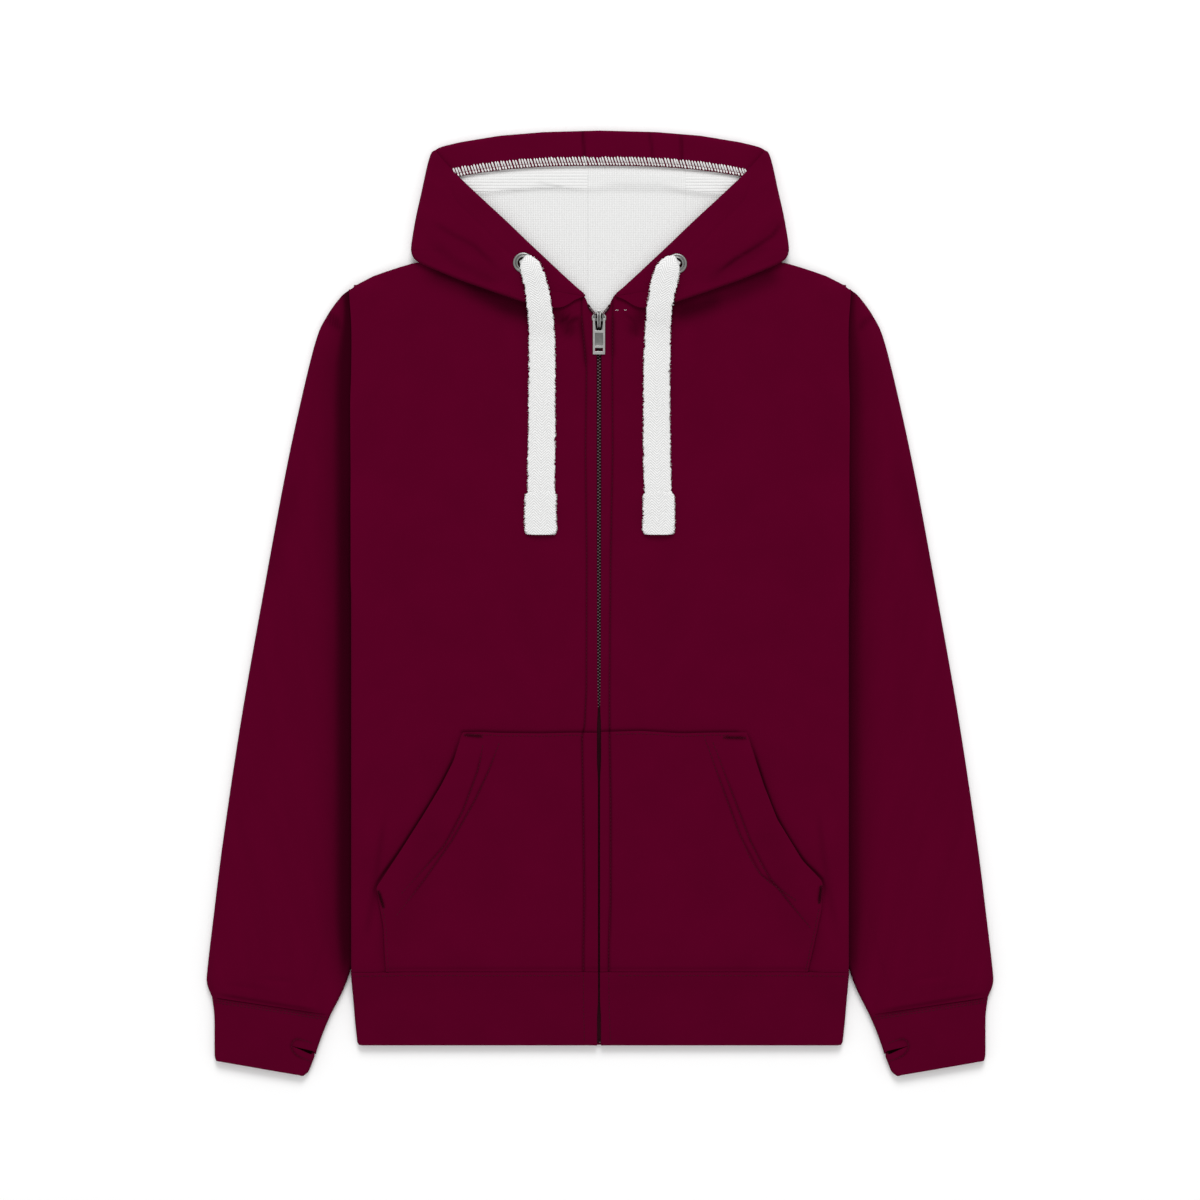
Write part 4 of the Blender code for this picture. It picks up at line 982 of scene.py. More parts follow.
def sleeveTop(place, along, t, side):
    # Fuller outside the body's edge, flat by the cuff seam, with soft folds across.
    clear = ease(body["half"] + 5.0, body["half"] + 26.0, place[:, 0]) * ease(-358.0, -325.0, place[:, 1])
    total = sleeve["puff"] * clear * math.sin(math.pi * min(1.0, 0.22 + t)) ** 0.5
    crease = np.zeros(len(along))
    for s, w, runAlong, runAcross, width, depth in sleeveFolds[side]:
        q = np.clip((t - w) / runAcross, 0.0, 1.0)
        bell = np.exp(-((along - s - runAlong * q) / width) ** 2) * math.sin(math.pi * q)
        crease -= depth * bell
    return total + crease * clear


def addSleeve(side, material):
    # A flat tube along the sleeve's table, with painted shade by its distance from the body's edge.
    rows = curveThrough(sleeveRows, 176)
    points = flatTube(rows, side, cloth["fleece"], lambda p, a, t: sleeveTop(p, a, t, side),
                      spaced((0.0, 40.0, 2.2), (40.0, 104.0, 3.8), (104.0, 150.0, 2.2)) / 150.0,
                      head=(0.0, 1.0))
    x, y = np.abs(points[:, :, 0]), points[:, :, 1]
    away = x - readRows(frontSide, y)
    wide = (0.4 + 0.6 * ease(268.0, 205.0, y)) * (0.7 + 0.3 * ease(-325.0, -270.0, y))
    upper = points[:, :, 2] > sleeve["upperFrom"]
    paintedShade = readRows(paintedShadeFall[side], away / wide, soft=1.0) * ease(-345.0, -306.0, y) * upper
    paintedShade = 1.0 - (1.0 - paintedShade) * (1.0 - gloom(x, y, sleeveGloom[side]) * upper)
    clothPiece("sleeve" + sideWord[side], points, cloth["fleece"], material, "sleeve_" + nodeWord[side],
               ring=True, paintedShade=paintedShade)


# outer fold x, y, inner fold x, y
cuffRows = [(341.0, -345.0, 236.8, -360.9), (339.0, -361.0, 243.4, -376.5), (338.8, -380.0, 250.0, -395.0),
            (338.8, -390.0, 253.4, -404.0), (338.6, -400.9, 257.6, -414.9)]
thumb = {"row": 0.46, "length": 20.0, "open": 3.0, "tilt": 3.2, "ringLow": 7.6, "ringHigh": 8.6,
         "cuffLong": 54.0, "rowsAbove": 27, "keptBelow": 4.2, "upperFrom": 3.0, "underTo": 2.2}
cuffCorner = {"reach": 5.5, "outer": 1.1, "inner": 2.3}  # how far up it starts, and what each fold draws in
# width, amount, then the line's points
cuffGloom = [(1.5, 0.5, [(346, -344.2), (290, -353.4), (236, -362.2)])]


def cuffRowCurve():
    # Rows crowd round the thumb slit, so that two of them are its lips.
    rows = curveThrough(cuffRows, 201)
    t = np.linspace(0.0, 1.0, 201)
    edge = thumb["open"] / 2 / thumb["cuffLong"]
    lip = thumb["row"]
    last = np.linspace(0.89, 1.0, 6)
    marks = np.concatenate([np.linspace(0.0, lip - edge, thumb["rowsAbove"]),
                            np.linspace(lip + edge, last[0], 24)[:-1], last])
    return np.stack([np.interp(marks, t, rows[:, k]) for k in range(4)], axis=1), thumb["rowsAbove"] - 1


def roundedEnd(rows):
    # The last rows draw in at both folds as a parabola; each fold's end rises by what its wall turns down.
    low = np.abs((rows[:, 1] + rows[:, 3]) / 2 - (rows[-1, 1] + rows[-1, 3]) / 2)
    away = np.clip(1.0 - low / cuffCorner["reach"], 0.0, 1.0)[:, None]
    amount = np.array([[cuffCorner["outer"], cuffCorner["inner"]]])
    draw = amount * away ** 2
    slope = 2.0 * amount * away / cuffCorner["reach"]
    outward = unit(rows[:, 0:2] - rows[:, 2:4])
    drawn = np.concatenate([rows[:, 0:2] - outward * draw[:, :1], rows[:, 2:4] + outward * draw[:, 1:]],
                           axis=1)
    return drawn, cloth["band"] / 2 * slope / np.sqrt(1.0 + slope ** 2)


def slitRing(middle, innerX):
    # Half oval round the slit's closed end, from its upper side at the fold to its lower side.
    turn = np.radians([90.0, 90.0, 60.0, 30.0, 0.0, -30.0, -60.0, -90.0, -90.0])
    reachIn = thumb["length"] + 5.0 - 12.0 + 9.0 * np.cos(turn)
    reachIn[[0, -1]] = 5.0
    high = np.where(turn > 0, thumb["ringHigh"], thumb["ringLow"])
    x = innerX + reachIn
    return np.stack([x, np.interp(x, *middle) + high * np.sin(turn)], axis=1)


def cuffTop(place, along, t):
    # A soft crown across and along, pressed in at the seam.
    crown = 0.5 * math.sin(math.pi * t) * np.sin(np.pi * np.clip(along, 0.0, 1.0)) ** 0.7
    return crown - 0.9 * np.exp(-(along / 0.03) ** 2)


def addCuff(side, material):
    # A flat tube whose two rows at the slit are its lips, with the quads between them left out.
    rows, lip = cuffRowCurve()
    rows, lift = roundedEnd(rows)
    inner = spaced((0.0, 42.0, 2.6), (42.0, 78.0, 1.1)) / 78.0
    points = flatTube(rows, side, cloth["band"], cuffTop, inner)
    cols = points.shape[1]
    fold = np.cos(np.radians(np.linspace(-90.0, 90.0, foldSteps)))
    second = foldSteps + len(inner) - 2
    points[:, :foldSteps, 1] += lift[:, :1] * fold
    points[:, second:second + foldSteps, 1] += lift[:, 1:] * fold
    innerX = rows[lip:lip + 2, 2].mean()
    keep = np.ones((len(rows) - 1, cols), bool)
    middle = np.abs(points[lip, :, 0] + np.roll(points[lip, :, 0], -1)) / 2
    keep[lip] = (middle > innerX + thumb["length"]) | (points[lip, :, 2] < thumb["keptBelow"])
    points[lip:lip + 2, :, 1] = squeeze(points, lip, innerX)
    x, y = np.abs(points[:, :, 0]), points[:, :, 1]
    near = np.exp(-((np.arange(len(rows))[:, None] - lip - 0.5) / 9.0) ** 2)
    lower = thumb["tilt"] * near * (ease(thumb["length"] + 6.0, 0.0, x - innerX) - 0.3)
    points[:, :, 1] -= lower
    points[:, :, 0] += side * 0.34 * lower * ease(14.0, 2.0, x - innerX)
    slit = points[lip:lip + 2].mean(axis=0)
    order = np.argsort(np.abs(slit[:, 0]))
    ring = slitRing((np.abs(slit[order, 0]), slit[order, 1]), innerX)
    # Painted shade: along the cuff seam and round the slit on the upper wall, and on the under layer seen
    # through the slit.
    lines = cuffGloom + [(1.2, 0.42, ring)]
    paintedShade = np.where(points[:, :, 2] > thumb["upperFrom"], gloom(x, y, lines), 0.0)
    paintedShade = np.where(points[:, :, 2] < thumb["underTo"], 0.8 * ease(32.0, 18.0, x - innerX), paintedShade)
    clothPiece("cuff" + sideWord[side], points, cloth["band"], material, "cuff_" + nodeWord[side],
               ring=True, keep=keep, edgeRound=0.2, paintedShade=paintedShade)
    return ring


def squeeze(points, lip, innerX):
    # The slit's lips meet at its inner end and part towards its mouth.
    y = points[lip:lip + 2, :, 1].copy()
    middle = y.mean(axis=0)
    inside = np.abs(points[lip, :, 0]) - innerX
    part = ease(thumb["length"] + 1.5, 1.0, inside) * ease(4.6, 5.8, points[lip, :, 2])
    return middle + (y - middle) * (0.05 + 0.95 * part)


# hood

# rim x, y, fold x, y, far edge y, rim height, fold height
hoodRows = [(142.4, 398.4, 145.0, 399.0, 412.0, 5.6, 5.6), (142.8, 395.6, 148.3, 396.0, 412.0, 8.7, 8.7),
            (129.8, 381.0, 151.7, 385.4, 396.0, 9.0, 8.9),
            (107.0, 359.0, 156.6, 362.6, 375.0, 11.0, 10.6), (83.2, 337.0, 161.5, 340.6, 355.0, 11.0, 11.2),
            (61.2, 315.9, 165.4, 317.7, 330.0, 11.0, 11.2), (45.3, 301.0, 165.4, 308.0, 300.8, 11.0, 11.2),
            (32.1, 288.6, 159.7, 300.1, 300.8, 11.0, 11.2), (21.6, 279.0, 140.4, 291.3, 300.8, 10.6, 11.2),
            (13.6, 271.2, 121.0, 283.4, 300.8, 9.6, 11.2), (21.6, 266.8, 100.8, 276.3, 300.8, 9.5, 11.2),
            (33.9, 260.4, 83.2, 270.2, 300.8, 9.5, 11.2), (51.5, 260.2, 66.0, 264.4, 300.8, 10.2, 11.2)]
hood = {"seams": {-1: 11.0, 1: 75.0}, "full": 6.0, "hem": (2.0, 9.0), "facingMid": 5.8, "facingTurn": 2.3,
        "rimTurn": 1.7, "rimClear": 0.8, "rimHem": 24.0, "wingTop": 11.05, "foot": 300.8}
hoodTopRows = [(0.0, 416.2), (50.0, 414.8), (88.4, 411.6), (121.9, 406.1), (136.0, 402.8), (141.0, 401.2),
               (144.5, 399.1), (147.5, 395.2)]
# start x, y, middle x, y, end x, y, width, depth
wingFolds = {-1: [(150, 382, 128, 352, 96, 338, 10.0, 0.7), (140, 318, 112, 306, 82, 292, 9.0, 0.6),
                  (118, 298, 96, 288, 78, 284, 7.0, 0.6)],
             1: [(160, 341, 144, 314, 99, 287, 3.2, 0.9), (146, 372, 122, 350, 100, 340, 11.0, 0.6),
                 (112, 300, 92, 290, 78, 286, 7.0, 0.5)]}


def hoodTop(x):
    # Height of the hood's top edge, the same on both sides.
    return readRows(hoodTopRows, np.abs(x), soft=1.5)


def wingGrid(side, count=108, across=44):
    # Turned rim, wing, outer fold, then the far layer down the back or a short turn under.
    rows = curveThrough(hoodRows, count)
    p = np.linspace(0.0, len(hoodRows) - 1.0, count)
    rim, fold = rows[:, 0:2], rows[:, 2:4]
    rimNormal = planNormals(rim, -1.0)
    stop = int(np.searchsorted(p, hood["hem"][1]))
    rimNormal[stop:] = rimNormal[stop - 1]
    foldNormal = planNormals(fold, 1.0)
    hemmed = ease(hood["hem"][0] - 0.1, hood["hem"][0], p) * ease(hood["hem"][1] + 0.1, hood["hem"][1], p)
    deep = (2.5 + (hood["rimHem"] - 2.5) * ease(2.0, 3.4, p) * ease(8.8, 7.2, p))[:, None]
    near = rim - rimNormal * ((cloth["fleece"] / 2 + hood["rimTurn"]) * hemmed)[:, None]
    rimZ, foldZ = rows[:, 5], rows[:, 6]
    lower = np.where(p <= hood["full"] + 1e-6, floorMid, cloth["fleece"] * 1.5 + cloth["ply"] + cloth["gap"])
    radius = (foldZ - lower) / 2
    bend = fold - foldNormal * (cloth["fleece"] / 2 + radius)[:, None]
    places = [near - rimNormal * deep, near - rimNormal * deep * 0.5, near]
    turn = hood["rimTurn"] * hemmed
    heights = [rimZ - 2 * turn] * 3
    for angle in np.radians([-60.0, -30.0, 0.0, 30.0, 60.0]):
        places.append(near + rimNormal * turn[:, None] * math.cos(angle))
        heights.append(rimZ - turn + turn * math.sin(angle))
    hemColumns = len(places)
    for t in np.linspace(0.0, 1.0, across)[:-1]:
        place = near + (bend - near) * t
        level = rimZ + (foldZ - rimZ) * t
        dent = folds(place[:, 0], place[:, 1], wingFolds[side])
        inset = np.linalg.norm(place - near, axis=1)
        sewn = -0.5 * np.exp(-((inset - deep[:, 0]) / 1.4) ** 2) * hemmed * ease(10.0, 20.0, deep[:, 0])
        places.append(place)
        heights.append(level + dent + sewn)
    for angle in np.radians(np.linspace(90.0, -90.0, 11)):
        places.append(bend + foldNormal * (radius * math.cos(angle))[:, None])
        heights.append(lower + radius + radius * math.sin(angle))
    foldColumns = len(places)
    full = (p > 1.0 - 1e-6) & (p <= hood["full"] + 1e-6)
    farX = hood["seams"][side] + cloth["gap"] / 2
    for t in np.linspace(0.0, 1.0, 14)[1:]:
        x = bend[:, 0] + (farX - bend[:, 0]) * t
        straight = bend[:, 1] + (rows[:, 4] - bend[:, 1]) * t
        topLine = hoodTop(x) - cloth["fleece"] / 2 - hood["facingTurn"] - hood["rimClear"]
        w = np.clip(2.0 - p, 0.0, 1.0)
        place = np.stack([x, straight * (1.0 - w) + topLine * w], axis=1)
        short = bend - foldNormal * 9.0 * t
        place[~full] = short[~full]
        places.append(place)
        heights.append(lower.copy())
    plan = np.stack(places, axis=1)
    points = np.stack([side * plan[:, :, 0], plan[:, :, 1], np.stack(heights, axis=1)], axis=2)
    keep = np.ones((count - 1, plan.shape[1] - 1), bool)
    hemRows = (p[:-1] >= hood["hem"][0] - 0.1) & (p[1:] <= hood["hem"][1] + 0.1)
    keep[~hemRows, :hemColumns] = False
    keep[full[:-1] != full[1:], foldColumns - 7:] = False
    return points, keep


def prismFaces(n):
    # The two ends and the sides of an upright prism: lower points first, then the upper ones.
    sides = [(k, (k + 1) % n, n + (k + 1) % n, n + k) for k in range(n)]
    return [tuple(range(n))[::-1], tuple(range(n, 2 * n))] + sides


def punchHole(obj, centre, radius):
    # Cuts a round hole through a finished wall and keeps the result as the piece's own mesh.
    sides, tall = 40, 4.0
    turn = np.arange(sides) * 2 * math.pi / sides
    ring = np.stack([centre[0] + radius * np.cos(turn), centre[1] + radius * np.sin(turn)], axis=1)
    verts = [(x, y, z) for z in (centre[2] - tall, centre[2] + tall) for x, y in ring]
    mesh = bpy.data.meshes.new("cutter")
    faces = prismFaces(sides)
    mesh.from_pydata([tuple(c * mm for c in v) for v in verts], [], faces)
    cutter = addObject("cutter", mesh)
    hole = obj.modifiers.new("hole", "BOOLEAN")
    hole.object = cutter
    hole.solver = "EXACT"
    done = bpy.data.meshes.new_from_object(obj.evaluated_get(bpy.context.evaluated_depsgraph_get()))
    obj.modifiers.clear()
    obj.data = done
    bpy.data.objects.remove(cutter)


eyelet = {-1: (67.3, 299.2), 1: (67.3, 298.3), "outer": 9.0, "hole": 4.7, "wall": 0.8}
# width, amount, then the line's points as distance from the middle and height
wingGloom = {-1: [(2.4, 0.22, [(150, 337), (129, 324), (110, 314), (86, 291)]),
                  (5.0, 0.14, [(155, 322), (120, 296), (84, 280)])],
             1: [(1.9, 0.45, [(163, 339), (151, 323), (138, 314), (117, 301.5), (99, 287)]),
                 (5.0, 0.16, [(150, 318), (118, 298), (90, 284)])]}


def addWing(side, material):
    # The wing's grid as one wall, with the eyelet's hole punched through it.
    points, keep = wingGrid(side)
    # Painted shade along the wing's folds, on its upper layer only.
    paintedShade = gloom(np.abs(points[:, :, 0]), points[:, :, 1], wingGloom[side]) * (points[:, :, 2] > 8.0)
    wing = clothPiece("hoodWing" + sideWord[side], points, cloth["fleece"], material,
                      "hood_" + nodeWord[side],
                      keep=keep, paintedShade=paintedShade)
    x, y = eyelet[side]
    punchHole(wing, (side * x, y, hood["wingTop"]), eyelet["hole"] + eyelet["wall"] + 0.3)


def addHoodBack(material):
    # Flat strip of the hood's back between its two seams.
    x = np.linspace(-hood["seams"][-1] + 0.15, hood["seams"][1] - 0.15, 20)[None]
    v = np.linspace(0.0, 1.0, 26)[:, None]
    top = hoodTop(x) - cloth["fleece"] / 2 - hood["facingTurn"] - hood["rimClear"]
    y = top + (hood["foot"] - top) * v
    x = np.broadcast_to(x, y.shape)
    clothPiece("hoodBackStrip", np.stack([x, y, np.full(y.shape, floorMid)], axis=2), cloth["fleece"],
               material,
               "hood_centre")


facing = {"low": 385.0, "fall": 10.3, "reach": 128.0, "power": 2.6, "half": 146.6, "step": 1.9}


def facingLow(x):
    # Lower edge of the turned strip: level in the middle, falling to both ends as a power curve.
    return facing["low"] - facing["fall"] * (np.abs(x) / facing["reach"]) ** facing["power"]


facingSeams = [(-14.5, 0.8), (45.3, 0.35), (71.5, 0.45)]  # x, depth
# width, amount, then the line's points as x and height
facingGloom = [(1.3, 0.5, [(-16.3, 424), (-14.4, 404), (-12.6, 380)]),
               (1.4, 0.3, [(42.0, 424), (45, 404), (48, 380)]),
               (1.3, 0.45, [(71.0, 424), (71.5, 404), (72.0, 376)])]


def facingRelief(x, y):
    # Slow swell with a narrow groove at each seam.
    total = 0.25 * settle(x, y, 21)
    for place, depth in facingSeams:
        total = total - depth * np.exp(-((x - place - 0.1 * (y - 400.0)) / 1.0) ** 2)
    return total


def addFacing(material):
    # Over the lining, round the top edge and down to the surface.
    x = spaced((-facing["half"], facing["half"], facing["step"]))
    low = facingLow(x)
    bend = hoodTop(x) - cloth["fleece"] / 2 - hood["facingTurn"]
    rows = []
    for t in np.linspace(0.0, 1.0, 14)[:-1]:
        y = low + (bend - low) * t
        rows.append(np.stack([x, y, hood["facingMid"] + facingRelief(x, y) * ease(0.0, 0.2, t)], axis=1))
    for angle in np.radians(np.linspace(90.0, -88.0, 11)):
        z = hood["facingMid"] - hood["facingTurn"] + hood["facingTurn"] * math.sin(angle)
        level = z + facingRelief(x, bend) * max(0.0, math.sin(angle))
        rows.append(np.stack([x, bend + hood["facingTurn"] * math.cos(angle), level], axis=1))
    points = np.array(rows)
    # Painted shade along the facing's seams.
    clothPiece("rimFacing", points, cloth["fleece"], material, "hood_facing",
               paintedShade=gloom(points[:, :, 0], points[:, :, 1], facingGloom))


liningEdge = [(392.0, 138.0), (381.0, 138.0), (359.0, 117.0), (337.0, 93.0), (316.0, 71.0), (301.0, 55.0),
              (288.6, 42.0), (279.0, 31.6), (268.0, 22.0), (248.0, 16.0)]
ledgeLine = [(-140.0, 358.0), (-103.4, 361.7), (-56.8, 366.0), (-5.7, 364.6), (4.0, 366.0), (69.0, 364.6),
             (105.0, 360.2), (140.0, 357.0)]
lining = {"step": 1.7, "ledge": 1.0, "swell": 0.22}
# width, amount, then the line's points
liningGloom = [(1.0, 0.3, [(-101, 361.6), (-69, 363.8), (-49.5, 365.0), (-36.4, 366.1), (-30.0, 366.4)]),
               (1.0, 0.22, [(-60.0, 369.6), (-52.0, 369.6), (-41.8, 367.8), (-33.9, 366.0), (-23.3, 364.4),
                            (-7.0, 364.1)]),
               (2.6, 0.12, [(-6.0, 368.2), (18.0, 368.4), (54.0, 367.6), (73.5, 361.4), (88.4, 359.3),
                            (104.0, 356.5)])]


def liningMid(x, y):
    # Flat on the hood's back, with a soft ledge where the upper part folds over the lower.
    ledge = readRows(ledgeLine, x, soft=6.0)
    under = ease(facingLow(x) - 1.0, facingLow(x) - 8.0, y)
    step = ease(-4.2, 0.6, y - ledge) + 0.25 * np.exp(-((y - ledge - 2.5) / 2.5) ** 2)
    return cloth["fleece"] + cloth["gap"] + cloth["lining"] / 2 + lining["ledge"] * step * under \
        + lining["swell"] * (settle(x, y, 31) + 0.6) * under * ease(250.0, 290.0, y)


def addLining(material):
    left, right = -hood["seams"][-1], hood["seams"][1]
    spans = {"Right": ("hood_lining_right", lambda e: -e, lambda e: np.full(e.shape, left), 391.0, 248.0),
             "Centre": ("hood_lining_centre", lambda e: np.full(e.shape, left),
                        lambda e: np.minimum(right, e),
                        391.0, 248.0),
             "Left": ("hood_lining_left", lambda e: np.full(e.shape, right),
                      lambda e: np.maximum(e, right + 3.0), 391.0, 315.0)}
    for word, (node, low, high, top, bottom) in spans.items():
        y = np.linspace(top, bottom, int((top - bottom) / lining["step"]))[:, None]
        edge = readRows(liningEdge, y, soft=2.0)
        a, b = low(edge), high(edge)
        u = np.linspace(0.0, 1.0, max(8, int(np.max(b - a) / lining["step"])))[None]
        x = a + (b - a) * u
        y = np.broadcast_to(y, x.shape)
        points = np.stack([x, y, liningMid(x, y)], axis=2)
        turned = np.clip((y - readRows(ledgeLine, x, soft=6.0)) / 8.0 + 0.5, 0.0, 1.0)
        # Painted shade along the ledge where the upper part folds over.
        clothPiece("lining" + word, points, cloth["lining"], material, node,
                   edgeRound=0.15, turned=turned * (0.0 if word == "Centre" else 1.0),
                   paintedShade=gloom(x, y, liningGloom))


overlock = {"pitch": 2.62, "reach": 130.0, "thread": 0.66, "leg": 0.42, "slant": -0.36, "tall": 4.6,
            "parting": 0.45, "foot": 2.1, "edge": 0.35}


def addOverlock(material):
    # Two rows of slanted thread loops over the facing's edge: tall ones above, short feet below.
    x = np.arange(-overlock["reach"], overlock["reach"], overlock["pitch"])
    x = x + chance.normal(0.0, 0.16, len(x))
    base = facingLow(x) + overlock["edge"] + overlock["foot"] + overlock["parting"]
    place = np.stack([x, base, hood["facingMid"] + cloth["fleece"] / 2 + facingRelief(x, base)], axis=1)
    leg, tall, foot = overlock["leg"], overlock["tall"], -overlock["foot"]
    low = -overlock["parting"]
    rows = {"Tall": [(-0.8 * leg, -0.2, -0.5), (-0.95 * leg, 0.4, 0.22), (-leg, 0.5 * tall, 0.4),
                     (-0.85 * leg, 0.85 * tall, 0.36), (0.0, tall, 0.26), (0.85 * leg, 0.85 * tall, 0.36),
                     (leg, 0.5 * tall, 0.4), (0.95 * leg, 0.4, 0.22), (0.8 * leg, -0.2, -0.5)],
            "Foot": [(-0.7 * leg, low + 0.1, -0.4), (-leg, low - 0.3, 0.3), (-leg, low + 0.75 * foot, 0.34),
                     (0.0, low + foot, 0.12), (leg, low + 0.75 * foot, 0.34), (leg, low - 0.3, 0.3),
                     (0.7 * leg, low + 0.1, -0.4)]}
    for word, row in rows.items():
        path = np.array(row)
        path[:, 0] += overlock["slant"] * path[:, 1]
        verts, faces = strand(path, overlock["thread"] / 2, 6)
        turn = chance.normal(0.0, 0.05, len(x))
        size = 1.0 + chance.normal(0.0, 0.05, len(x))
        turns = np.zeros((len(x), 3, 3))
        turns[:, 0, 0], turns[:, 0, 1] = size * np.cos(turn), -np.sin(turn)
        turns[:, 1, 0], turns[:, 1, 1], turns[:, 2, 2] = np.sin(turn), size * np.cos(turn), 1.0
        obj = copies("overlock" + word, verts, faces, (turns, place), material)
        finishPiece(obj, "garment")


def addEyelet(side, metal):
    # Pressed eyelet: rolled washer with a groove round its barrel.
    x, y = eyelet[side]
    seat = hood["wingTop"] + cloth["fleece"] / 2 + 0.12
    r, wall, outer = eyelet["hole"], eyelet["wall"], eyelet["outer"]
    profile = [(r, seat - 4.2), (r + wall, seat - 4.2), (r + wall, seat), (outer - 0.3, seat),
               (outer, seat + 0.25),
               (outer - 0.1, seat + 0.6), (outer - 0.7, seat + 1.15), (outer - 1.4, seat + 1.25),
               (outer - 1.9, seat + 0.95), (outer - 2.15, seat + 0.3), (outer - 2.6, seat + 0.3),
               (outer - 2.85, seat + 0.95), (outer - 3.3, seat + 1.3), (outer - 3.8, seat + 1.15),
               (r + 0.15, seat + 0.6), (r, seat - 0.2)]
    ring = turnedRing("eyelet" + sideWord[side], profile, (side * x, y), 64, metal)
    finishPiece(ring, "garment", "eyelet_" + nodeWord[side])


# zip

zipSizes = {"pitch": 2.77, "toothLong": 1.0, "toothWide": 1.8, "toothTall": 1.1, "toothPlace": 0.8,
            "top": 245.0,
            "bottom": -385.5, "tapeHalf": 14.0, "teethDrop": 1.25, "coreHalf": 2.0, "coreDrop": 2.0}


def addTapes(material):
    # Two strips beside the zip's middle, a gap under the fronts.
    y = np.linspace(254.0, -386.0, 214)[:, None]
    for side in (-1, 1):
        x = np.linspace(0.3, zipSizes["tapeHalf"], 9)[None]
        z = frontMid(0.0, y) - cloth["fleece"] / 2 - cloth["gap"] - cloth["tape"] / 2 + 0.0 * x
        points = np.stack([body["zipX"] + side * np.broadcast_to(x, z.shape), np.broadcast_to(y, z.shape),
                           z], axis=2)
        clothPiece("zipTape" + sideWord[side], points, cloth["tape"], material, "zip_tape_" + nodeWord[side],
                   edgeRound=0.2)


def toothShape():
    # A tooth: a low block with a rounded crown, its inner end narrowed to a nose.
    across = np.array([-1.0, -0.45, 0.45, 0.8, 1.0]) * zipSizes["toothWide"] / 2
    half = np.array([0.42, 0.5, 0.5, 0.36, 0.12]) * zipSizes["toothLong"]
    a = np.arange(8) * math.pi / 4 + math.pi / 8
    y = half[:, None] * np.clip(np.cos(a) * 1.3, -1.0, 1.0)
    z = zipSizes["toothTall"] / 2 * np.clip(np.sin(a) * 1.3, -1.0, 1.0)[None]
    z = z * np.array([0.9, 1.0, 1.0, 0.85, 0.6])[:, None]
    verts = np.stack([np.repeat(across, 8), y.ravel(), z.ravel()], axis=1)
    return verts, sweptFaces(5, 8)


def addTeeth(metal):
    # Two rows of teeth, half a pitch apart, and the last few parting at the top.
    verts, faces = toothShape()
    turns, origins = [], []
    for side in (-1, 1):
        y = np.arange(zipSizes["top"] - (0.5 if side > 0 else 0.0) * zipSizes["pitch"], zipSizes["bottom"],
                      -zipSizes["pitch"])
        place = np.stack([np.full(y.shape, body["zipX"] + side * zipSizes["toothPlace"]), y,
                          frontMid(0.0, y) - zipSizes["teethDrop"] - 0.7 * ease(-70.0, -96.0, y)], axis=1)
        turn = np.zeros((len(y), 3, 3))
        turn[:, 0, 0], turn[:, 1, 1], turn[:, 2, 2] = -side, -side, 1.0
        turns.append(turn)
        origins.append(place)
        for k in range(3):
            lean = math.radians(40.0 + 4.0 * k)
            spot = (body["zipX"] + side * (4.0 + 1.75 * k), 254.9 + 2.2 * k, frontMid(0.0, 255.0) + 2.9)
            away = np.array([[-side * math.cos(lean), 0.0, 0.0], [-math.sin(lean), 0.0, 0.0],
                             [0.0, 0.0, 1.0]])
            away[:, 1] = np.cross(away[:, 2], away[:, 0])
            turns.append(away[None] * 1.5)
            origins.append(np.array([spot]))
    obj = copies("zipTeeth", verts, faces, (np.concatenate(turns), np.concatenate(origins)), metal)
    finishPiece(obj, "garment", "zip_chain")


def addCore(material):
    # Dark corded edge that the teeth are clamped to, parting over the neck's two corners.
    y = np.arange(246.0, -387.0, -3.0)
    path = np.stack([np.full(y.shape, body["zipX"]), y, frontMid(0.0, y) - zipSizes["coreDrop"]], axis=1)
    u = np.array([-1.0, -0.6, 0.6, 1.0])
    verts = path[:, None] + np.stack([u * zipSizes["coreHalf"], 0.0 * u, 0.25 - 0.25 * u ** 2], axis=1)[None]
    core = putMesh("zipCore", verts.reshape(-1, 3), gridFaces(len(path), len(u))[0])[0]
    wall = core.modifiers.new("wall", "SOLIDIFY")
    wall.thickness = 0.5 * mm
    core.data.materials.append(material)
    finishPiece(core, "garment")
    level = float(frontMid(0.0, 255.0)) + 1.0
    for side in (-1, 1):
        path = curveThrough([(1.4, 247.0, level - 1.4), (2.6, 252.6, level - 0.4), (5.2, 256.2, level + 0.3),
                             (8.0, 259.6, level + 0.35), (9.6, 262.4, level - 0.5)], 20)
        path[:, 0] = body["zipX"] + side * path[:, 0]
        top = tube("zipCore" + sideWord[side], path, 1.25, 10, material)
        finishPiece(top, "garment")


def extrude(name, outline, low, high, material, bevel, segments=2):
    # A flat outline given its height, edges rounded.
    outline = np.asarray(outline, float)
    n = len(outline)
    verts = np.concatenate([np.column_stack([outline, np.full(n, z)]) for z in (low, high)]) * mm
    mesh = bpy.data.meshes.new(name)
    mesh.from_pydata(verts.tolist(), [], prismFaces(n))
    mesh.shade_smooth()
    obj = addObject(name, mesh)
    roundEdges(obj, "edges", bevel, segments, 30.0)
    obj.data.materials.append(material)
    return obj


slider = {"axisY": 249.0, "bailTop": 1.7, "bailLow": 1.35, "rim": 0.75, "axisUp": 1.45}


def sliderTop():
    # Height of the slider's face over the zip.
    return float(frontMid(0.0, slider["axisY"])) + cloth["fleece"] / 2 + cloth["gap"] + 1.0


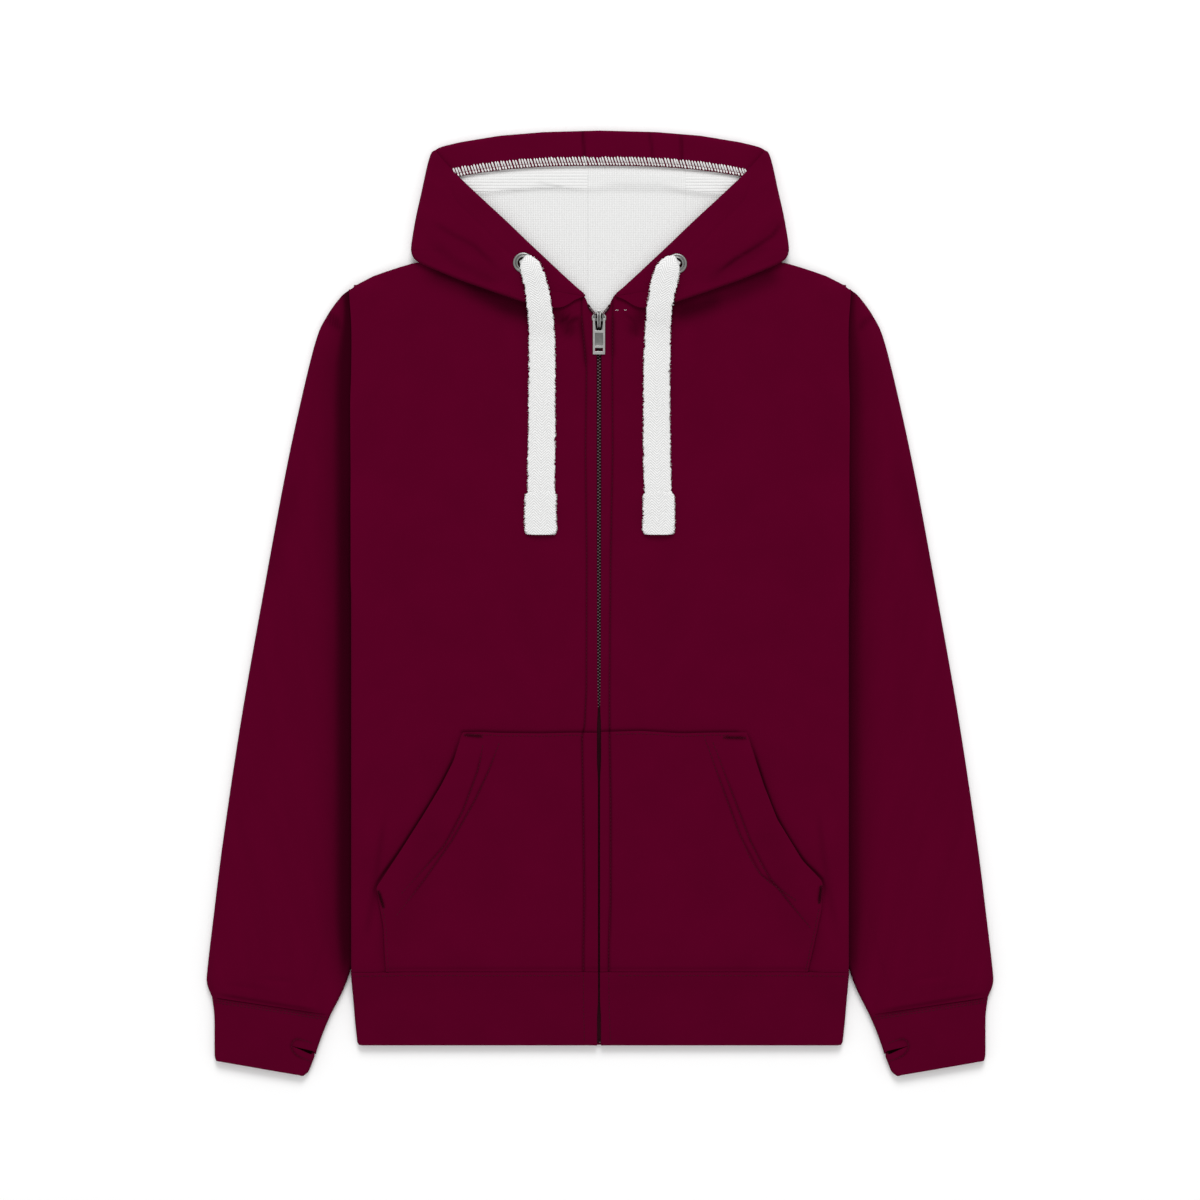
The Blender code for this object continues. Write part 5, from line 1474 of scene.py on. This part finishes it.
def inset(outline, amount):
    # The outline moved inwards along the bisectors of its corners.
    outline = np.asarray(outline, float)
    ahead = unit(np.roll(outline, -1, axis=0) - outline)
    behind = np.roll(ahead, 1, axis=0)
    normal = np.stack([ahead[:, 1], -ahead[:, 0]], axis=1) + np.stack([behind[:, 1], -behind[:, 0]], axis=1)
    return outline - normal / (1.0 + (ahead * behind).sum(axis=1))[:, None] * amount


def addSlider(metal, dark, shadowBlack):
    # Shield shaped plate with a crowned shoulder, a darker sunk field, black painted shadow beside and under
    # the bail, and a grooved bail over the tab's bar.
    top, y0, x0 = sliderTop(), slider["axisY"], body["zipX"]
    half = np.array([(3.4, -10.2), (4.3, -8.6), (4.5, -2.0), (4.8, -0.8), (5.8, -0.2), (6.2, 0.9), (6.2, 3.7),
                     (3.7, 6.6), (1.3, 8.9)])
    outline = np.concatenate([half, half[::-1] * [-1.0, 1.0]]) + [x0, y0]
    plate = extrude("zipSliderPlate", outline, top - 1.5, top - 0.12, metal, 0.35, 3)
    finishPiece(plate, "garment", "zip_slider")
    low = np.array([(1.7, -9.0), (2.4, -8.5), (2.7, -7.6), (3.3, -3.0), (3.4, -0.6)])
    low = np.concatenate([low, low[::-1] * [-1.0, 1.0]]) + [x0, y0]
    high = inset(outline, slider["rim"])
    high = np.stack([high[:, 0], np.maximum(high[:, 1], y0 - 0.6)], axis=1)
    high = high[np.linalg.norm(high - np.roll(high, 1, axis=0), axis=1) > 0.05]
    gap = np.array([(-3.0, 0.2), (3.0, 0.2), (2.6, 5.0), (1.1, 7.6), (-1.1, 7.6), (-2.6, 5.0)]) + [x0, y0]
    neck = np.array([(-1.7, 2.6), (1.7, 2.6), (1.9, 8.2), (-1.9, 8.2)]) + [x0, y0]
    # The black pieces are painted shadow: beside the bail's foot and under its arch.
    for piece in [("zipSliderShadowLow", low, top - 0.6, top - 0.04, shadowBlack, 0.08),
                  ("zipSliderFieldHigh", high, top - 0.6, top - 0.04, dark, 0.08),
                  ("zipSliderShadowUnderBail", gap, top - 0.5, top - 0.01, shadowBlack, 0.05),
                  ("zipSliderNeck", neck, top - 4.6, top - 1.3, metal, 0.3)]:
        finishPiece(extrude(*piece), "garment")
    axis, steps = top + slider["axisUp"], 44
    path = curveThrough([(-5.5, top - 0.5), (-6.2, top + 0.9), (-5.6, axis + 1.0), (-3.4, axis + 2.2),
                         (0.5, axis + 2.25), (4.2, axis + 2.1), (6.9, axis + 1.0), (7.7, top + 0.6),
                         (7.3, top - 0.5)], steps)
    line = np.stack([np.full(steps, x0), y0 + path[:, 0], path[:, 1]], axis=1)
    up = np.cross([1.0, 0.0, 0.0], unit(np.gradient(line, axis=0)))
    bailWide = [slider["bailLow"], slider["bailTop"], slider["bailTop"], 1.5]
    wide = np.interp(path[:, 0], [-6.2, 0.0, 5.0, 7.7], bailWide)
    across = np.array([-0.62, -0.94, -1.0, -0.9, -0.66, -0.42, -0.26, 0.26, 0.42, 0.66, 0.9, 1.0, 0.94, 0.62])
    ridge = np.array([-0.7, -0.5, 0.0, 0.5, 0.72, 0.6, -0.1, -0.1, 0.6, 0.72, 0.5, 0.0, -0.5, -0.7])
    verts = line[:, None] + (across[None] * wide[:, None])[:, :, None] * np.array([1.0, 0.0, 0.0]) \
        + ridge[None, :, None] * up[:, None]
    cols = len(across)
    bail = putMesh("zipBail", verts.reshape(-1, 3), sweptFaces(steps, cols))[0]
    bail.data.materials.append(metal)
    bail.data.materials.append(shadowBlack)
    tones = np.zeros(len(bail.data.polygons), int)
    face = np.arange((steps - 1) * cols)
    # Painted shade: the groove's floor takes the black.
    tones[:len(face)] = (face % cols == 6) & (face // cols > 9)  # the groove's floor, past the bail's foot
    bail.data.polygons.foreach_set("material_index", tones)
    finishPiece(bail, "garment")


tab = {"thick": 1.5, "tilt": 3.0, "sink": 0.5, "across": [-5.35, -4.4, -3.5, 3.5, 4.4, 5.35],
       "along": [1.4, 0.2, -1.0, -9.2, -10.4, -11.3, -22.4, -23.3, -24.4, -27.3, -28.2, -30.1]}


def addPullTab(metal, dark):
    # Framed tab as a grid of cells: the window at the bail and the slot are open, the panels sunk.
    xs, ys = tab["across"], tab["along"]
    openCells = {(2, 2), (2, 8)}
    # The sunk cells take the darker metal: oxide in the panel's hollow, and painted shade on the bar under
    # the bail.
    sunk = {(2, 0), (2, 1), (2, 5)}
    solid = {(i, j) for i in range(5) for j in range(11)} - openCells
    thick = tab["thick"] / 2
    verts, faces, tones, seen = [], [], [], {}

    def corner(i, j, z):
        key = (i, j, round(z, 4))
        if key not in seen:
            seen[key] = len(verts)
            verts.append((xs[i], ys[j], z))
        return seen[key]

    def topOf(cell):
        return thick - tab["sink"] if cell in sunk else thick

    for i, j in sorted(solid):
        high = topOf((i, j))
        low = -high
        faces.append([corner(i, j, high), corner(i, j + 1, high), corner(i + 1, j + 1, high),
                      corner(i + 1, j, high)])
        faces.append([corner(i, j, low), corner(i + 1, j, low), corner(i + 1, j + 1, low),
                      corner(i, j + 1, low)])
        tones += [int((i, j) in sunk)] * 2
        for (di, dj), (p, q) in {(-1, 0): ((i, j), (i, j + 1)), (1, 0): ((i + 1, j + 1), (i + 1, j)),
                                 (0, -1): ((i + 1, j), (i, j)), (0, 1): ((i, j + 1), (i + 1, j + 1))}.items():
            other = (i + di, j + dj)
            if other not in solid:
                faces.append([corner(*p, high), corner(*p, low), corner(*q, low), corner(*q, high)])
                tones.append(0)
            elif topOf(other) < high:
                step = topOf(other)
                faces.append([corner(*p, high), corner(*p, step), corner(*q, step), corner(*q, high)])
                faces.append([corner(*q, low), corner(*q, -step), corner(*p, -step), corner(*p, low)])
                tones += [1, 1]
    points = np.array(verts)
    tilt = math.radians(tab["tilt"])
    y = points[:, 1] * math.cos(tilt) - points[:, 2] * math.sin(tilt)
    z = points[:, 1] * math.sin(tilt) + points[:, 2] * math.cos(tilt)
    placed = np.stack([points[:, 0] + body["zipX"], y + slider["axisY"], z + sliderTop() + slider["axisUp"]],
                      axis=1)
    obj = putMesh("zipPullTab", placed, np.array(faces))[0]
    obj.data.polygons.foreach_set("material_index", tones)
    roundEdges(obj, "edges", 0.22, 2, 40.0)
    obj.data.materials.append(metal)
    obj.data.materials.append(dark)
    finishPiece(obj, "pull_tab", "zip_pull_tab")


# drawcords

# x, y, height of its middle, width
cordRoute = {
    -1: [(-67.2, 301.7, 10.0, 7.6), (-67.0, 301.5, 12.3, 9.2), (-65.6, 300.5, 14.5, 12.4),
         (-63.0, 297.6, 15.7, 16.2),
         (-60.4, 293.2, 16.2, 18.0), (-58.1, 286.6, 16.0, 19.4), (-56.1, 279.4, 15.4, 20.0),
         (-54.6, 271.5, 14.9, 20.4), (-53.1, 261.0, 14.2, 20.8), (-51.8, 248.0, 12.5, 21.6),
         (-51.0, 234.0, 10.4, 22.4), (-50.9, 210.0, 9.7, 22.8), (-51.0, 166.0, 8.5, 23.0),
         (-51.0, 144.0, 8.3, 23.2),
         (-51.7, 120.0, 8.3, 23.4), (-51.5, 97.0, 8.3, 23.4)],
    1: [(67.2, 300.8, 10.0, 7.6), (67.0, 300.6, 12.3, 9.2), (65.6, 299.8, 14.5, 13.0),
        (62.6, 297.0, 15.8, 17.6),
        (59.8, 292.6, 16.3, 20.6), (57.6, 286.6, 16.0, 22.2), (55.7, 279.4, 15.5, 22.4),
        (53.9, 270.5, 14.9, 22.0), (52.5, 262.0, 14.3, 21.8), (51.5, 252.0, 13.0, 21.8),
        (50.8, 242.0, 11.1, 21.8),
        (50.3, 228.0, 10.1, 22.4), (49.8, 200.0, 9.6, 22.8), (49.8, 166.0, 8.5, 23.0),
        (49.8, 144.0, 8.3, 23.2),
        (50.2, 120.0, 8.3, 23.4), (50.8, 97.0, 8.3, 23.4)],
}
cordEnd = {-1: (-52.0, 97.4, 60.8), 1: (51.4, 97.4, 60.8)}
cord = {"thick": 2.5, "endThick": 3.4, "endWide": 27.2, "rag": 0.34, "step": 1.0, "fuzz": 520, "endFuzz": 190,
        "level": 8.3, "nominal": 24.0}


def ribbonGrid(route, thick, seed):
    # A flat oval section carried along the route; its two edges wander like a loosely woven selvedge.
    route = np.asarray(route, float)
    count = len(route)
    step = unit(np.gradient(route[:, :3], axis=0))
    across = unit(np.stack([-step[:, 1], step[:, 0], np.zeros(count)], axis=1))
    up = np.cross(step, across)
    up *= np.sign(up[:, 2:3] + 1e-9)
    draw = np.random.default_rng(seed)
    rag = draw.normal(0.0, 1.0, (count, 2)) * cord["rag"]
    rag = (rag + np.roll(rag, 1, axis=0) * 0.6) * ease(0.0, 12.0, np.arange(count) * cord["step"])[:, None]
    a = np.linspace(0.0, 2 * math.pi, 29)[:-1]
    flat = np.sign(np.cos(a)) * np.abs(np.cos(a)) ** 0.62
    tall = np.sign(np.sin(a)) * np.abs(np.sin(a)) ** 0.8
    edge = np.abs(flat) ** 6
    half = route[:, 3:4] / 2 + edge[None] * np.where(flat[None] > 0, rag[:, :1], rag[:, 1:])
    ruffle = 0.12 * np.sin(np.arange(count) * 1.9)[:, None] * edge[None]
    verts = route[:, None, :3] + across[:, None] * (flat[None] * half)[:, :, None] \
        + up[:, None] * (tall[None] * thick / 2 + ruffle)[:, :, None]
    flatU = flat[None] * route[:, 3:4] / 2 * mm
    far = np.concatenate([[0.0], np.cumsum(np.linalg.norm(np.diff(route[:, :3], axis=0), axis=1))]) * mm
    return verts, flatU, far


def ribbonPiece(name, route, thick, seed, material):
    # The ribbon's grid as a closed piece, with its flat lengths for the weave.
    verts, flatU, far = ribbonGrid(route, thick, seed)
    rows, cols = verts.shape[:2]
    faces = sweptFaces(rows, cols)
    u = flatU.ravel()[faces]
    v = np.repeat(far, cols)[faces]
    obj = putMesh(name, verts.reshape(-1, 3), faces, np.stack([u, v], axis=-1))[0]
    obj.data.materials.append(material)
    return obj


def addFuzz(name, route, thick, seed, material, count):
    # Short curved fibres standing off the cord's two edges.
    draw = np.random.default_rng(seed)
    route = np.asarray(route, float)
    at = draw.uniform(6.0, len(route) - 3.01, count)
    i = at.astype(int)
    f = (at - i)[:, None]
    base = route[i] * (1 - f) + route[i + 1] * f
    run = unit(route[i + 1, :3] - route[i, :3])
    flank = np.stack([-run[:, 1], run[:, 0], np.zeros(count)], axis=1)
    flank = flank * draw.choice([-1.0, 1.0], count)[:, None]
    out = unit(flank + run * draw.uniform(-0.8, 0.8, count)[:, None])
    up = np.tile([0.0, 0.0, 1.0], (count, 1))
    long = draw.uniform(0.7, 1.9, count)
    raised = up * draw.uniform(-0.3, 0.45, count)[:, None] * thick / 2
    start = base[:, :3] + flank * (base[:, 3:4] / 2 - 0.5) + raised
    s = np.array([0.0, 0.5, 1.0])
    spine = start[:, None] + out[:, None] * (long[:, None] * s[None])[:, :, None] \
        + up[:, None] * (draw.uniform(-0.3, 0.5, count)[:, None] * s[None] ** 2)[:, :, None]
    a = np.arange(4) * math.pi / 2
    side = np.cross(out, up)
    radius = np.array([0.16, 0.13, 0.04])
    ring = side[:, None] * np.cos(a)[None, :, None] + up[:, None] * np.sin(a)[None, :, None]
    verts = spine[:, :, None] + ring[:, None] * radius[None, :, None, None]
    one = sweptFaces(3, 4)
    faces = (one[None] + np.arange(count)[:, None, None] * 12).reshape(-1, 4)
    obj = putMesh(name, verts.reshape(-1, 3), faces)[0]
    obj.data.materials.append(material)
    return finishPiece(obj, "garment")


def addDrawcord(side, material, fuzzMaterial):
    # The cord up to its stitched end, the end as a wider band over it, and fibres on both.
    word = sideWord[side]
    x, top, bottom = cordEnd[side]
    level = cord["level"] + (cord["endThick"] - cord["thick"]) / 2
    wide = cord["endWide"]
    inside = [(x, top - 2.0, level, 23.6), (x + side * 0.2, (top + bottom) / 2, level, 23.6),
              (x, bottom + 1.0, level, 23.0)]
    route = evenly(np.concatenate([curveThrough(cordRoute[side], 400), inside]), cord["step"])
    strip = ribbonPiece("drawcord" + word, route, cord["thick"], 40 + side, material)
    finishPiece(strip, "garment", "drawcord_" + nodeWord[side])
    rows = [(x, top, level, 24.0), (x, top - 1.0, level, wide - 1.0), (x, top - 2.5, level, wide),
            (x + side * 0.3, (top + bottom) / 2, level, wide), (x, bottom + 4.4, level, wide + 0.6),
            (x, bottom + 2.2, level, wide - 0.6), (x, bottom + 0.9, level, wide - 3.0),
            (x, bottom, level, wide - 8.0)]
    endRoute = evenly(np.array(rows), cord["step"] / 2)
    tip = ribbonPiece("drawcordEnd" + word, endRoute, cord["endThick"], 60 + side, material)
    finishPiece(tip, "garment", "drawcord_end_" + nodeWord[side])
    free = route[route[:, 1] > top]
    fuzz = addFuzz("drawcordFuzz" + word, free, cord["thick"], 80 + side, fuzzMaterial, cord["fuzz"])
    tipFuzz = addFuzz("drawcordEndFuzz" + word, endRoute, cord["endThick"], 90 + side, fuzzMaterial,
                      cord["endFuzz"])


# sewing

def placketPath(side, y):
    # The placket's stitched line in plan at these heights.
    return np.stack([besideZip(readRows(placketLine[side], y, soft=4.0), side), y], axis=1)


def frontTopHeight(side):
    # Upper face of a front, from true x.
    def height(x, y):
        away = (x - body["zipX"]) * side
        return frontMid(away, y) + frontRelief(away, y, side) + cloth["fleece"] / 2
    return height


def pocketTopHeight(side):
    # Upper face of a pocket, from true x.
    def height(x, y):
        away = (x - body["zipX"]) * side
        return pocketMid(away, np.minimum(y, pocket["top"]), side) + cloth["pocket"] / 2
    return height


def bandTopHeight(x, y):
    # Upper face of the band.
    low = (cloth["band"] - cloth["fleece"]) / 2
    return frontMid(x, y) + low + bandRelief(np.abs(x), y) + cloth["band"] / 2


def addSewing(thread, side):
    # Rows beside the zip, over the pocket's top and side, and along its slanted opening.
    word = sideWord[side]
    y = np.arange(252.0, pocket["top"] + 3.0, -4.0)
    stitchRow("placketStitches" + word, [placketPath(side, y)], frontTopHeight(side), thread)
    lower = placketPath(side, np.arange(pocket["top"] - 3.0, body["hemSeam"] + 1.0, -4.0))
    slanted = [np.stack([besideZip([p[0] for p in row], side), [p[1] for p in row]],
                        axis=1) for row in pocketSewn[side]]
    slanted = [curveThrough(row, 60) for row in slanted]
    x = np.linspace(16.0, 112.0, 30)
    top = np.stack([besideZip(x, side), readRows(pocketTop[side], x) - pocket["topSewn"]], axis=1)
    v = np.linspace(-268.0, -320.0, 16)
    low = np.stack([besideZip(readRows(pocketEdge[side], v) - 2.4, side), v], axis=1)
    stitchRow("pocketStitches" + word, [lower, top, low] + slanted, pocketTopHeight(side), thread)


def addHemSewing(thread):
    # One row under the hem seam and one beside the zip, on each side.
    lines = []
    for side in (-1, 1):
        x = np.linspace(18.0, 213.0, 60)
        lines.append(np.stack([besideZip(x, side), np.full(60, body["hemSeam"] - 3.0)], axis=1))
        v = np.arange(body["hemSeam"] - 2.0, body["hemBottom"] + 3.0, -3.0)
        lines.append(placketPath(side, v))
    stitchRow("hemStitches", lines, bandTopHeight, thread)


# white thread ends above the left chest: points in a row
threadEnds = [[(13.2, 257.6), (14.6, 258.1), (16.2, 257.7)], [(21.0, 258.1), (22.4, 257.8), (23.4, 258.2)]]


def addThreadEnds(thread):
    # Loose ends laid on the cloth.
    for k, row in enumerate(threadEnds):
        plan = curveThrough(row, 12)
        z = frontTopHeight(1)(plan[:, 0], plan[:, 1]) + 0.2
        finishPiece(tube("threadEnd%d" % k, np.column_stack([plan, z - 0.16]), 0.14, 6, thread), "garment")


bartacks = {-1: [((119.0, -114.6), (102.5, -116.2)), ((194.0, -250.5), (189.0, -266.0))],
            1: [((128.5, -117.5), (108.5, -117.0)), ((193.5, -246.0), (191.8, -262.0))]}
bartack = {"pitch": 0.42, "half": 1.15, "thread": 0.24, "lift": 0.22}


def addBartacks(thread, side):
    # Close zigzag over each end of the pocket's opening.
    height = pocketTopHeight(side)
    for k, (start, end) in enumerate(bartacks[side]):
        start, end = np.array(start, float), np.array(end, float)
        run = end - start
        length = np.linalg.norm(run)
        normal = np.array([-run[1], run[0]]) / length
        count = int(length / bartack["pitch"])
        t = np.linspace(0.0, 1.0, count)
        swing = np.where(np.arange(count) % 2 == 0, 1.0, -1.0) * bartack["half"]
        plan = start + run * t[:, None] + normal * swing[:, None]
        x = besideZip(plan[:, 0], side)
        z = height(x, plan[:, 1]) + bartack["lift"]
        path = np.stack([x, plan[:, 1], z], axis=1)
        finishPiece(tube("bartack%s%d" % (sideWord[side], k), path, bartack["thread"], 6, thread), "garment")


def addCuffSewing(thread, side, ring):
    # Two close rows over the cuff seam and a ring of stitches round the thumb slit.
    rows = curveThrough(cuffRows, 60)
    radius = cloth["ply"] / 2 + cloth["band"] / 2
    lines = []
    for row in (2, 4):
        a, b = rows[row, 0:2], rows[row, 2:4]
        run = unit(b - a)
        ends = np.stack([a + run * radius, b - run * radius])
        lines.append(ends * [side, 1.0])
    lines.append(np.array(ring) * [side, 1.0])
    top = 2 * (cloth["band"] / 2 + cloth["ply"] / 2) + 0.1
    stitchRow("cuffStitches" + sideWord[side], lines, lambda x, y: np.full(np.shape(x), top), thread)


# put together

def main():
    addCamera()
    addStudio()
    fleece = fleeceMaterial("burgundyFleece", fleeceLook["color"], fleeceLook["wale"])
    bandColor = tuple(c * fleeceLook["bandTone"] for c in fleeceLook["color"])
    band = fleeceMaterial("burgundyBand", bandColor, fleeceLook["bandWale"])
    waffle = waffleMaterial()
    herringbone = cordMaterial()
    tape = tapeMaterial()
    metal, dark, ringMetal, teeth = [metalMaterial(name, *look) for name, look in metalLook.items()]
    shadowBlack, thread, white, zipCord = [threadMaterial(name, *look) for name, look in threadLook.items()]
    print("materials made:", len(bpy.data.materials))
    for side in (-1, 1):
        addDrawcord(side, herringbone, white)
    print("drawcords laid")
    addBack(fleece)
    addHemBand(band)
    rings = {}
    for side in (-1, 1):
        addFront(side, fleece)
        addPocket(side, fleece)
        addSleeve(side, fleece)
        rings[side] = addCuff(side, band)
    print("body, sleeves and pockets laid")
    addHoodBack(fleece)
    addFacing(fleece)
    addLining(waffle)
    addOverlock(white)
    for side in (-1, 1):
        addWing(side, fleece)
        addEyelet(side, ringMetal)
    print("hood made")
    addTapes(tape)
    addTeeth(teeth)
    addCore(zipCord)
    addSlider(metal, dark, shadowBlack)
    addPullTab(metal, dark)
    print("zip made")
    for side in (-1, 1):
        addSewing(thread, side)
        addBartacks(thread, side)
        addCuffSewing(thread, side, rings[side])
    addHemSewing(thread)
    addThreadEnds(white)
    print("sewing done")


main()
